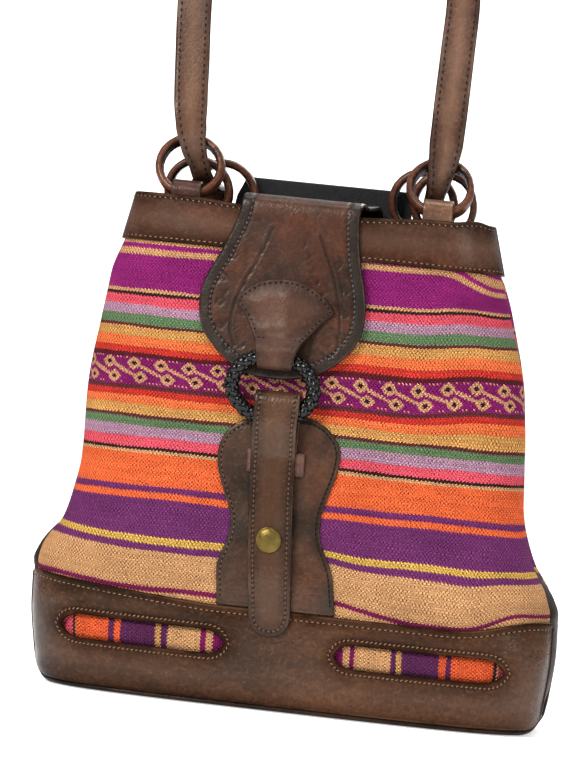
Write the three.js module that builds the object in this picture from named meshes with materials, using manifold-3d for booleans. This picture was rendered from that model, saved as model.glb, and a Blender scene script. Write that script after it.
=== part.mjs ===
// Striped-cloth and leather backpack bag, millimetres, +Z up, front face towards -Y.
// The bag stands on its flat bottom; the origin is the centre of the bounding box, on that bottom.
import * as THREE from 'three';
import { mergeVertices } from 'three/addons/utils/BufferGeometryUtils.js';
import Module from 'manifold-3d';

const wasm = await Module();
wasm.setup();

// ------------------------------------------------------------------ driving dimensions
const LEAN = -0.045;            // sideways lean of the soft body, mm of X per mm of height
const LEAN_Z = 150;             // height at which the lean is zero
const SHIFT_X = -4.9;           // brings the bounding box centre to X = 0
const SHIFT_Y = 2.55;           // brings the bounding box centre to Y = 0

// half width, half depth and squareness of the body's plan outline against height
const HALF_WIDTH = [[12, 156], [71, 156], [80, 153], [100, 140], [118, 135], [135, 132], [170, 131], [222, 125.5], [238, 122.5], [260, 118], [271, 115], [300, 108], [320, 104]];
const HALF_DEPTH = [[0, 57], [6, 60], [70, 60], [100, 57], [130, 53], [160, 50], [200, 45.5], [240, 41], [271, 38], [300, 36], [320, 35]];
const SQUARENESS = [[0, 3.4], [70, 3.4], [130, 2.9], [220, 2.9], [300, 3.2]];
const CORNER_R = 12;            // bottom corners of the front and back faces

const CLOTH = 1.6;              // cloth with its backing
const SKIN = 2.0;               // one layer of belt leather
const GAP = 0.3;
const BASE_TOP = 59.5;          // top edge of the leather base at the middle
const BASE_RISE = 8.5;          // how much higher that edge is at the corners
const BAND_LOW = 269;           // lower edge of the mouth band
const BAND_TOP = 296.5;         // top edge of the mouth band at the middle
const SEAM_F = 0.35;            // seam of the front face, as a share of the half depth
const GUSSET_TOP = 112;         // where the two side seams meet
const WINDOW_Z = 37.4, WINDOW_HALF_H = 7.1, WINDOW_HALF_L = 50.5, WINDOW_X = 82;
const RING_R = 18.25, RING_RADIAL = 4.5, RING_AXIAL = 7;       // leather-wrapped carry rings
const LOOP_BORE = 5.5, LOOP_SKIN = 1.8;
const PIPING_R = 1.5;
const STRAP_W = 21, STRAP_T = 3;
const ARCH_Z = 430, ARCH_R = 81;

// ------------------------------------------------------------------ helpers
const clamp = (v, a, b) => Math.min(b, Math.max(a, v));
const smooth = (t) => { t = clamp(t, 0, 1); return t * t * (3 - 2 * t); };
// monotone cubic interpolation of a table of [position, value, value, ...]
function table(rows, t, k = 1) {
  const n = rows.length;
  if (t <= rows[0][0]) return rows[0][k];
  if (t >= rows[n - 1][0]) return rows[n - 1][k];
  let i = 0;
  while (rows[i + 1][0] < t) i++;
  const d = (j) => (rows[j + 1][k] - rows[j][k]) / (rows[j + 1][0] - rows[j][0]);
  const m = (j) => {
    if (j === 0) return d(0);
    if (j === n - 1) return d(n - 2);
    const a = d(j - 1), b = d(j);
    if (a * b <= 0) return 0;
    const h0 = rows[j][0] - rows[j - 1][0], h1 = rows[j + 1][0] - rows[j][0];
    return (3 * (h0 + h1)) / ((2 * h1 + h0) / a + (h1 + 2 * h0) / b);
  };
  const h = rows[i + 1][0] - rows[i][0], s = (t - rows[i][0]) / h;
  const s2 = s * s, s3 = s2 * s;
  return (2 * s3 - 3 * s2 + 1) * rows[i][k] + (s3 - 2 * s2 + s) * h * m(i) + (-2 * s3 + 3 * s2) * rows[i + 1][k] + (s3 - s2) * h * m(i + 1);
}
const halfWidth = (z) => (z < CORNER_R ? 156 - CORNER_R + Math.sqrt(CORNER_R ** 2 - (CORNER_R - Math.max(z, 0)) ** 2) : table(HALF_WIDTH, z));
const halfDepth = (z) => table(HALF_DEPTH, z);
const squareness = (z) => table(SQUARENESS, z);

// point of the body's outline at height z and plan angle phi (0 is +X, 90 degrees is the back), moved out by off
function outline(z, phi, off) {
  const n = squareness(z), w = halfWidth(z), d = halfDepth(z), c = Math.cos(phi), s = Math.sin(phi);
  const px = Math.sign(c) * Math.abs(c) ** (2 / n), py = Math.sign(s) * Math.abs(s) ** (2 / n);
  let nx = Math.sign(c) * Math.abs(px) ** (n - 1) / w, ny = Math.sign(s) * Math.abs(py) ** (n - 1) / d;
  const l = Math.hypot(nx, ny) || 1;
  return [w * px + off * nx / l, d * py + off * ny / l];
}
// wall Y at x and height z, on the front (side -1) or the back (side 1), moved out by off
function wallY(x, z, side, off) {
  const n = squareness(z), w = halfWidth(z), d = halfDepth(z), q = Math.min(Math.abs(x / w), 0.995);
  const y = d * (1 - q ** n) ** (1 / n);
  const sx = (d / w) * q ** (n - 1) * (1 - q ** n) ** (1 / n - 1);
  return side * (y + off * Math.hypot(1, Math.min(sx, 2)));
}
// plan angle of the seam that lies at share f of the half depth
const seamPhi = (z, f) => Math.asin(clamp(f, 0, 1) ** (squareness(z) / 2));
// share of the half depth at which the face's side seam runs
const seamShare = (z) => 0.006 + (SEAM_F - 0.006) * (1 - smooth((z - 66) / (GUSSET_TOP - 66)));

// point at share s (0 to 1) of the length of the outline between two plan angles, spaced evenly
function along(z, phi0, phi1, s, off) {
  const N = 160, pts = [outline(z, phi0, off)], len = [0];
  for (let i = 1; i <= N; i++) {
    pts.push(outline(z, phi0 + (phi1 - phi0) * i / N, off));
    len.push(len[i - 1] + Math.hypot(pts[i][0] - pts[i - 1][0], pts[i][1] - pts[i - 1][1]));
  }
  const t = s * len[N];
  let i = 0;
  while (i < N - 1 && len[i + 1] < t) i++;
  const r = (t - len[i]) / (len[i + 1] - len[i] || 1);
  return [pts[i][0] + (pts[i + 1][0] - pts[i][0]) * r, pts[i][1] + (pts[i + 1][1] - pts[i][1]) * r];
}

const lean = (p) => [p[0] + LEAN * (p[2] - LEAN_Z) + SHIFT_X, p[1] + SHIFT_Y, p[2]];

// closed indexed geometry whose faces point out
function solid(geometry) {
  const g = geometry.clone();
  g.deleteAttribute('normal');
  g.deleteAttribute('uv');
  const m = mergeVertices(g, 1e-4);
  const p = m.attributes.position, ix = m.index.array;
  let vol = 0;
  const a = new THREE.Vector3(), b = new THREE.Vector3(), c = new THREE.Vector3();
  for (let i = 0; i < ix.length; i += 3) {
    a.fromBufferAttribute(p, ix[i]); b.fromBufferAttribute(p, ix[i + 1]); c.fromBufferAttribute(p, ix[i + 2]);
    vol += a.dot(b.clone().cross(c)) / 6;
  }
  if (vol < 0) for (let i = 0; i < ix.length; i += 3) { const t = ix[i]; ix[i] = ix[i + 2]; ix[i + 2] = t; }
  return m;
}
// a box of leather or cloth bent onto the surface f(u, v, w), each from 0 to 1
function slab(nu, nv, f, nw = 1) {
  const g = new THREE.BoxGeometry(1, 1, 1, nu, nv, nw), p = g.attributes.position;
  for (let i = 0; i < p.count; i++) {
    const q = lean(f(p.getX(i) + 0.5, p.getY(i) + 0.5, p.getZ(i) + 0.5));
    p.setXYZ(i, q[0], q[1], q[2]);
  }
  return solid(g);
}
function leaned(geometry) {
  const p = geometry.attributes.position;
  for (let i = 0; i < p.count; i++) {
    const q = lean([p.getX(i), p.getY(i), p.getZ(i)]);
    p.setXYZ(i, q[0], q[1], q[2]);
  }
  return solid(geometry);
}
const toManifold = (g) => new wasm.Manifold(new wasm.Mesh({ numProp: 3, vertProperties: new Float32Array(g.attributes.position.array), triVerts: new Uint32Array(g.index.array) }));
function fromManifold(m) {
  const mesh = m.getMesh(), g = new THREE.BufferGeometry();
  g.setAttribute('position', new THREE.BufferAttribute(new Float32Array(mesh.vertProperties), 3));
  g.setIndex(new THREE.BufferAttribute(new Uint32Array(mesh.triVerts), 1));
  return g;
}

const paint = (hex, roughness, metalness = 0) => new THREE.MeshStandardMaterial({ color: hex, roughness, metalness });
const BROWN = paint(0x4a3026, 0.5), DARK = paint(0x2b211e, 0.6), RING = paint(0x7a4632, 0.4), BLACK = paint(0x121112, 0.45);
const WEB = paint(0x1a1a1c, 0.9), BRASS = paint(0x9c8449, 0.4, 1), STRIPE = paint(0xb5406b, 0.9), LINING = paint(0x2a2526, 0.9);

const bag = new THREE.Group();
function add(name, geometry, material) {
  geometry.computeVertexNormals();
  const mesh = new THREE.Mesh(geometry, material);
  mesh.name = name;
  bag.add(mesh);
  return mesh;
}

// ------------------------------------------------------------------ cloth body
const PI = Math.PI;
// angles of the front (side -1) or back (side 1) face between its seams, left to right as seen from that side's +X
function faceAngles(z, side, trim) {
  const f = seamPhi(z, seamShare(z) + trim / halfDepth(z));
  return side < 0 ? [PI + f, 2 * PI - f] : [PI - f, f];
}
// wall of cloth or leather between two edges whose heights are functions of x, or through a list of heights
function wallPanel(side, z0, z1, off0, off1, nu, nv, trim) {
  const rows = Array.isArray(z0) ? z0 : null, lo = rows ? () => rows[0] : z0, hi = rows ? () => rows[rows.length - 1] : z1;
  return slab(nu, rows ? rows.length - 1 : nv, (u, v, w) => {
    const zm = (lo(0) + hi(0)) / 2, am = faceAngles(zm, side, trim(zm)), xm = along(zm, am[0], am[1], u, 0)[0];
    const z = rows ? rows[Math.round(v * (rows.length - 1))] : lo(xm) + (hi(xm) - lo(xm)) * v, a = faceAngles(z, side, trim(z));
    const q = along(z, a[0], a[1], u, off0 + (off1 - off0) * w);
    return [q[0], q[1], z];
  });
}
const CLOTH_ROWS = [52, 66, 76, 86, 98, 112, 136, 170, 205, 240, 269, 280];
const clothTrim = (z) => (z < 67 ? 1.9 : 0.2);
const baseTop = (x) => BASE_TOP + BASE_RISE * smooth((Math.abs(x) - 105) / 50);
const baseLow = (x) => 3.8 + 7 * smooth((Math.abs(x) - 138) / 11);
const bandTop = (x) => BAND_TOP - 2.5 * Math.exp(-((x / 45) ** 2)) + 1.5 * smooth((Math.abs(x) - 30) / 50);

add('front_cloth_panel', wallPanel(-1, CLOTH_ROWS, null, -CLOTH, 0, 20, 0, clothTrim), STRIPE);
add('back_cloth_panel', wallPanel(1, CLOTH_ROWS, null, -CLOTH, 0, 20, 0, clothTrim), STRIPE);

// side gussets: leather triangles between the two faces
for (const [name, sx] of [['left_side_gusset', -1], ['right_side_gusset', 1]]) {
  const rows = [12.2, 38, 66, 76, 86, 98, 106];
  add(name, slab(6, rows.length - 1, (u, v, w) => {
    const z = rows[Math.round(v * (rows.length - 1))], cut = z < 67 ? 2.2 : 0.3;
    const f = seamPhi(z, Math.max(seamShare(z) - cut / halfDepth(z), 0.004));
    const a = sx > 0 ? [-f, f] : [PI + f, PI - f];
    const q = along(z, a[0], a[1], u, -CLOTH + CLOTH * w);
    return [q[0], q[1], z];
  }), DARK);
}

// bottom: one leather piece, flat underneath, its two ends turned up to the side gussets
{
  const flat = 144, arc = CORNER_R * (PI / 2 - 0.03), total = flat + arc;
  const zb = 1.8, wb = halfWidth(zb), db = halfDepth(zb), nb = squareness(zb);
  const yLimit = (x) => Math.max(18, db * (1 - Math.min(Math.abs(x) / wb, 1) ** nb) ** (1 / nb) - 2.4);
  add('bottom_panel', slab(22, 2, (u, v, w) => {
    let s = (u * 2 - 1) * total;
    const sg = Math.sign(s) || 1;
    s = Math.abs(s);
    let x, z, nx, nz;
    if (s <= flat) { x = s; z = 0; nx = 0; nz = 1; } else {
      const b = (s - flat) / CORNER_R;
      x = flat + CORNER_R * Math.sin(b); z = CORNER_R - CORNER_R * Math.cos(b); nx = -Math.sin(b); nz = Math.cos(b);
    }
    const yl = s <= flat ? yLimit(x) : THREE.MathUtils.lerp(yLimit(flat), 18, smooth((s - flat) / 6));
    return [sg * (x + nx * w * SKIN), (v * 2 - 1) * yl, z + nz * w * SKIN];
  }), DARK);
}

// stiffening board on the bottom
{
  const s = new THREE.Shape(), w = 143, d = 53, n = 3.4;
  for (let i = 0; i < 40; i++) {
    const a = i / 40 * 2 * PI, c = Math.cos(a), t = Math.sin(a);
    const x = w * Math.sign(c) * Math.abs(c) ** (2 / n), y = d * Math.sign(t) * Math.abs(t) ** (2 / n);
    i ? s.lineTo(x, y) : s.moveTo(x, y);
  }
  const g = new THREE.ExtrudeGeometry(s, { depth: 1.6, bevelEnabled: false });
  g.translate(0, 0, 2.4);
  add('bottom_board', leaned(g), LINING);
}

// lining: one open cloth cup inside the walls
{
  const wallRows = [14, 66, 76, 86, 98, 112, 136, 170, 205, 240, 276], a = -3.2, b = -4.1;
  const rings = [[0, 4.4, 0], [0.93, 4.4, 0], ...wallRows.map((z) => [1, z, a]), ...wallRows.slice().reverse().map((z) => [1, z, b]), [0.92, 5.3, 0], [0, 5.3, 0]];
  const seg = 32, g = new THREE.LatheGeometry(rings.map((r) => new THREE.Vector2(r[0], r[1])), seg), p = g.attributes.position;
  for (let i = 0; i < p.count; i++) {
    const j = i % rings.length, k = Math.floor(i / rings.length) % seg, [r, z, off] = rings[j];
    const q = along(z, 0, 2 * PI, k / seg, r < 1 ? -2.4 : off);
    p.setXYZ(i, q[0] * r, q[1] * r, z);
  }
  add('lining', leaned(g), LINING);
}

// ------------------------------------------------------------------ leather base with its two windows
function windowSolid(cx) {
  const s = new THREE.Shape(), L = WINDOW_HALF_L, H = WINDOW_HALF_H;
  s.moveTo(-L, 0);
  s.bezierCurveTo(-L + 2, H * 0.7, -L + 7, H, -L + 14, H);
  s.lineTo(L - 14, H);
  s.bezierCurveTo(L - 7, H, L - 2, H * 0.7, L, 0);
  s.bezierCurveTo(L - 2, -H * 0.7, L - 7, -H, L - 14, -H);
  s.lineTo(-L + 14, -H);
  s.bezierCurveTo(-L + 7, -H, -L + 2, -H * 0.7, -L, 0);
  const g = new THREE.ExtrudeGeometry(s, { depth: 90, bevelEnabled: false, curveSegments: 6 });
  g.rotateX(PI / 2);
  g.translate(cx, -10, WINDOW_Z);
  return leaned(g);
}
{
  const band = toManifold(wallPanel(-1, baseLow, baseTop, GAP, GAP + SKIN, 20, 3, () => 1.9));
  const cut = band.subtract(toManifold(windowSolid(-WINDOW_X - 1))).subtract(toManifold(windowSolid(WINDOW_X - 1)));
  add('front_base_band', solid(fromManifold(cut)), BROWN);
}
add('back_base_band', wallPanel(1, baseLow, baseTop, GAP, GAP + SKIN, 20, 3, () => 1.9), BROWN);
for (const [name, cx] of [['left_window_cloth', -WINDOW_X - 1], ['right_window_cloth', WINDOW_X - 1]]) {
  add(name, slab(10, 2, (u, v, w) => {
    const x = cx + (u * 2 - 1) * (WINDOW_HALF_L + 3.4), z = WINDOW_Z + (v * 2 - 1) * (WINDOW_HALF_H + 4);
    return [x, wallY(x, z, -1, -CLOTH - 0.5 + CLOTH * w), z];
  }), STRIPE);
}

// piping round the lower edge and up the corner seams of each face
for (const [name, side] of [['front_piping', -1], ['back_piping', 1]]) {
  const pts = [];
  const at = (z, share, sx) => {
    const f = seamPhi(z, share), phi = side < 0 ? (sx < 0 ? PI + f : 2 * PI - f) : (sx < 0 ? PI - f : f);
    const q = outline(z, phi, 0.5);
    return new THREE.Vector3(...lean([q[0], q[1], z]));
  };
  for (const z of [66, 50, 36, 24, 15, 9]) pts.push(at(z, SEAM_F, -1));
  pts.push(at(3.9, 0.38, -1));
  const f0 = seamPhi(1.85, 0.5), a = side < 0 ? [PI + f0, 2 * PI - f0] : [PI - f0, f0];
  for (let i = 0; i <= 18; i++) {
    const q = along(1.85, a[0], a[1], i / 18, 0.5);
    pts.push(new THREE.Vector3(...lean([q[0], q[1], 1.85])));
  }
  pts.push(at(3.9, 0.38, 1));
  for (const z of [9, 15, 24, 36, 50, 66]) pts.push(at(z, SEAM_F, 1));
  const s = new THREE.Shape();
  for (let i = 0; i < 6; i++) { const t = (i + 0.5) / 6 * 2 * PI; i ? s.lineTo(PIPING_R * Math.cos(t), PIPING_R * Math.sin(t)) : s.moveTo(PIPING_R * Math.cos(t), PIPING_R * Math.sin(t)); }
  add(name, solid(new THREE.ExtrudeGeometry(s, { steps: 46, extrudePath: new THREE.CatmullRomCurve3(pts, false, 'centripetal'), bevelEnabled: false })), BLACK);
}

// ------------------------------------------------------------------ mouth
add('front_mouth_band', wallPanel(-1, () => BAND_LOW, bandTop, GAP, GAP + SKIN, 20, 2, () => 0.2), BROWN);
add('back_mouth_band', wallPanel(1, () => BAND_LOW, bandTop, GAP, GAP + SKIN, 20, 2, () => 0.2), BROWN);
// black webbing standing above the back band, on the inside
add('mouth_webbing', slab(10, 2, (u, v, w) => {
  const x = (u * 2 - 1) * 53.5, z = 286 + 28.8 * v;
  return [x, wallY(x, Math.min(z, 296), 1, -3.2 - 1.6 * (1 - w)), z];
}), WEB);

// ------------------------------------------------------------------ flap, tab, ring and closure
const FLAP_OFF = GAP + SKIN + GAP, FLAP_T = 3;
// left and right edge of the flap against height
const FLAP_EDGE = [[194.4, -22, -12], [195.4, -30, -4], [198, -36.5, 5], [201.2, -41, 13], [204.7, -46, 18.5], [211.3, -53, 27.2], [215, -56.1, 30.6], [221.6, -60, 35], [227, -61.8, 36.6],
  [237, -62.8, 37.1], [250, -60.2, 35.7], [262, -54.5, 33.2], [276, -48.4, 31.1], [288, -44, 30], [297, -41, 29.9]];
// run of the flap over the mouth: from the webbing forward to the front edge, then down the front
const crest = [[29.2, 285], [29.2, 293], [27.4, 298.8], [21, 302.2], [4, 301.2], [-16, 300.6], [-31, 301.8], [-38.6, 299.0]];
{
  const rows = [], n0 = crest.length, zs = [293, 282, 270, 257, 245, 234, 224, 215, 208, 202, 197.4, 194.8];
  for (let i = 0; i < n0; i++) {
    const a = crest[Math.max(i - 1, 0)], b = crest[Math.min(i + 1, n0 - 1)];
    let ty = b[0] - a[0], tz = b[1] - a[1];
    const l = Math.hypot(ty, tz);
    ty /= l; tz /= l;
    // outward is up over the mouth and towards -Y at the front
    const back = i / (n0 - 1);
    rows.push({ top: true, y: crest[i][0], z: crest[i][1], ny: tz, nz: -ty, xl: THREE.MathUtils.lerp(-39.4, -40.6, back), xr: THREE.MathUtils.lerp(38, 30, back) });
  }
  for (const z of zs) rows.push({ top: false, z, xl: table(FLAP_EDGE, z, 1), xr: table(FLAP_EDGE, z, 2) });
  const R = rows.length - 1;
  add('flap', slab(8, R, (u, v, w) => {
    const r = rows[Math.round(v * R)], x = r.xl + (r.xr - r.xl) * u;
    if (r.top) return [x, r.y + r.ny * (w - 0.5) * FLAP_T, r.z + r.nz * (w - 0.5) * FLAP_T];
    return [x, wallY(x, r.z, -1, FLAP_OFF + FLAP_T * w), r.z];
  }), BROWN);
}

// a strip of leather that follows rows of [z, offset of its middle from the wall, left edge, right edge]
function run(rows, nu, thickness) {
  const R = rows.length - 1, normals = rows.map((r, i) => {
    const a = rows[Math.max(i - 1, 0)], b = rows[Math.min(i + 1, R)], tz = b[0] - a[0], to = b[1] - a[1], l = Math.hypot(tz, to);
    return [to / l, -tz / l];       // across the strip, in height and offset
  });
  return slab(nu, R, (u, v, w) => {
    const i = Math.round(v * R), r = rows[i], x = r[2] + (r[3] - r[2]) * u, h = (w - 0.5) * thickness;
    const z = r[0] + normals[i][0] * h, off = r[1] + normals[i][1] * h;
    return [x, -(-wallY(x, Math.min(z, 300), -1, 0) + off), z];
  });
}
const TAB_T = 1.8, ON_FLAP = FLAP_OFF + FLAP_T + GAP + TAB_T / 2;
{
  const a = ON_FLAP;   // middle of the tab where it lies on the flap
  const c = a + TAB_T / 2 + GAP + 3.8;   // middle of the ring's tube
  const rows = [[254, a, -13, -8], [253.4, a, -21, 0], [251.4, a, -27, 6], [248.4, a, -32, 10.5], [244.5, a, -36.4, 14.5], [240.6, a, -39.7, 18], [237.6, a, -40, 19.6], [234, a, -37, 17],
    [229.5, a + 0.3, -33, 12.6], [225, a + 1.2, -30, 8.8], [221.5, a + 3, -28.2, 5.6], [218.6, a + 5.5, -27.2, 3.2], [215.8, a + 8.4, -26.4, 1.4], [212, c + 5.2, -25.4, -0.4], [207.8, c + 5.2, -24.6, -1.8],
    [203.6, c + 4.3, -24.2, -2.6], [201.6, c + 2.2, -24, -3], [201.1, c, -24, -3], [201.6, c - 2.2, -24, -3], [203.2, c - 4.2, -24, -3], [206.6, a, -24, -3], [212.4, a, -24, -3]];
  add('ring_tab', run(rows, 4, TAB_T), RING);
  const RT = 8.9;      // the ring's tube, radially; 7.6 along its axis
  const prof = [];
  for (let i = 0; i <= 8; i++) prof.push(new THREE.Vector2(24.5 + RT / 2 * Math.cos(i / 8 * 2 * PI), 3.8 * Math.sin(i / 8 * 2 * PI)));
  prof[8].copy(prof[0]);
  const g = new THREE.LatheGeometry(prof, 28);   // axis along Y
  g.scale(1, 1, 0.7633);
  // lean the ring a little so its top rides on the tab and its bottom on the closure strap
  const topY = wallY(-14, 208.7, -1, 0) - c, lowY = wallY(-11, 171.3, -1, 0) - 8.5;
  g.rotateX(-Math.asin((topY - lowY) / 37.4));
  g.translate(-14.2, (topY + lowY) / 2, 190);
  add('closure_ring', leaned(g), BLACK);
}

// hourglass patch under the closure strap
{
  const edge = [[62.4, -39.8, 30.6], [66, -40.2, 30.2], [82, -40.4, 27.8], [92, -38, 24], [99, -35.4, 20.4], [106, -34.4, 19], [114, -35, 19.2], [120, -37.4, 20.4], [127, -40.6, 22.6], [135, -43.6, 25],
    [145, -45.4, 27.4], [152, -45.2, 27.6], [158, -43.2, 26.4], [163.6, -39.2, 23.4], [168, -33.6, 18.6], [171, -27.4, 13], [172.6, -20, 5]];
  const R = 15;
  add('hourglass_patch', slab(6, R, (u, v, w) => {
    const z = 62.4 + (172.6 - 62.4) * (1 - (1 - v) ** 1.35), xl = table(edge, z, 1), xr = table(edge, z, 2), x = xl + (xr - xl) * u;
    return [x, wallY(x, z, -1, GAP + 1.7 * w), z];
  }), BROWN);
}
const PATCH_OUT = GAP + 1.7;
{
  // closure strap: short back leg sewn to the patch, folded over the ring, long front leg down to the base
  const b = PATCH_OUT + GAP + 0.9;
  const rows = [[117, b, -22, 0.6], [130, b, -23, 1.6], [145, b, -23.4, 2], [160, b, -23.7, 2.4], [172, b, -24, 2.8], [180, b, -24, 3], [184.6, b + 1.4, -24, 3.2], [187, b + 4.4, -24, 3.2],
    [187, b + 7, -24, 3.2], [184.4, b + 9.9, -24, 3.2], [179, b + 10.6, -24, 3], [171, b + 10.4, -24.2, 2.4], [164, b + 8.8, -24.4, 2], [157, b + 6.2, -24.6, 2], [150, b + 4.5, -24.7, 2], [140, b + 4.2, -24.6, 2],
    [126, b + 4.0, -24.2, 2.2], [110, b + 4.0, -23.4, 3], [94, b + 3.8, -22.4, 3.8], [78, b + 2.9, -21.2, 4.4], [64, b + 1.9, -20.3, 4.8], [56, b + 1.5, -19.8, 4.8], [51, b + 1.5, -18.4, 3.8], [47.4, b + 1.5, -15.6, 1.4],
    [45.2, b + 1.5, -12, -2], [44.2, b + 1.5, -9, -5]];
  add('closure_strap', run(rows, 4, 1.8), BROWN);
  // keeper: a low bridge over the back leg
  const s = new THREE.Shape(), lo = PATCH_OUT + GAP, hi = lo + 1.8 + GAP;
  for (const [i, q] of [[-27, lo], [-27, hi + 1.3], [6.9, hi + 1.3], [6.9, lo], [4.2, lo], [4.2, hi], [-25.2, hi], [-25.2, lo]].entries()) i ? s.lineTo(q[0], q[1]) : s.moveTo(q[0], q[1]);
  const g = new THREE.ExtrudeGeometry(s, { depth: 14, bevelEnabled: false }), p = g.attributes.position;
  for (let i = 0; i < p.count; i++) {
    const x = p.getX(i), off = p.getY(i), z = 139 + p.getZ(i);
    p.setXYZ(i, x, wallY(x, z, -1, 0) - off, z);
  }
  add('strap_keeper', leaned(g), BROWN);
  // snap: socket under the front leg, cap on it
  const sx = -10.2, sz = 100.8, yw = wallY(sx, sz, -1, 0);
  const socket = new THREE.LatheGeometry([[0, 0], [5.4, 0], [5.4, 1], [4.2, 1.9], [0, 1.9]].map((q) => new THREE.Vector2(q[0], q[1])), 16);
  socket.rotateX(PI);
  socket.translate(sx, yw - PATCH_OUT - 0.7, sz);
  add('snap_socket', leaned(socket), BRASS);
  const cap = new THREE.LatheGeometry([[0, 0], [7.4, 0], [7.6, 0.5], [7.1, 1.2], [5.2, 1.9], [2.6, 2.3], [0, 2.4]].map((q) => new THREE.Vector2(q[0], q[1])), 20);
  cap.rotateX(PI);
  cap.translate(sx, yw - (b + 4.0 + 0.9) - 0.8, sz);
  add('snap_cap', leaned(cap), BRASS);
}

// ------------------------------------------------------------------ carry rings in their loops
// [name, x, y and z of the swing axis, backward tilt in degrees, loop width]
const CARRY = [['front_left', -77, -21.2, 300, 24, 18], ['front_right', 74.5, -21.2, 303, 34, 18],
  ['rear_left_outer', -75, 11.9, 285.2, 0, 12], ['rear_left_inner', -61, 23.0, 285.2, 0, 12],
  ['rear_right_outer', 75, 11.9, 291.2, 0, 12], ['rear_right_inner', 61, 23.0, 291.2, 0, 12]];
for (const [name, x, y, z, tilt, width] of CARRY) {
  const ra = RING_RADIAL / 2, ax = RING_AXIAL / 2;
  const prof = [[-ra, 0], [-ra * 0.7, -ax], [ra * 0.7, -ax], [ra, 0], [ra * 0.7, ax], [-ra * 0.7, ax], [-ra, 0]].map((q) => new THREE.Vector2(RING_R + q[0], q[1]));
  const g = new THREE.LatheGeometry(prof, 20);
  g.rotateY(PI / 20);
  g.translate(0, 0, RING_R - 1.2);
  g.rotateX(-THREE.MathUtils.degToRad(tilt));
  g.translate(x, y, z);
  add(name + '_ring', leaned(g), RING);
  // loop: leather round the ring, its tail sewn to the wall behind it
  const r = LOOP_BORE + LOOP_SKIN, front = y < 0, s = new THREE.Shape(), tail = -17;
  const reach = name.endsWith('outer') ? wallY(Math.abs(x) + width / 2, 284, 1, -3.3) - y : r;
  if (name.endsWith('outer')) {
    s.moveTo(r, 0);
    s.absarc(0, 0, r, 0, PI, false);
    s.absarc(0, 0, r, PI, 1.5 * PI, false);
    s.lineTo(reach, -r);
    s.lineTo(reach, -r + 3);
    s.lineTo(r * 0.83, -r * 0.56);
  } else {
    s.moveTo(-r, tail);
    s.lineTo(-r, 0);
    s.absarc(0, 0, r, PI, 0, true);
    s.absarc(0, 0, r, 0, -PI * 0.66, true);
    s.lineTo(-r * 0.5, tail);
  }
  const hole = new THREE.Path();
  hole.absarc(0, 0, LOOP_BORE, 0, 2 * PI, false);
  s.holes.push(hole);
  const lg = new THREE.ExtrudeGeometry(s, { depth: width, bevelEnabled: false, curveSegments: 8 });
  // shape x is Y (mirrored for the rear inner loops, whose tail is at the back), shape y is Z
  const flip = !front && !name.endsWith('outer') ? -1 : 1, p = lg.attributes.position;
  for (let i = 0; i < p.count; i++) p.setXYZ(i, x + p.getZ(i) - width / 2, y + flip * p.getX(i), z + p.getY(i));
  add(name + '_loop', leaned(lg), BROWN);
}

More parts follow.
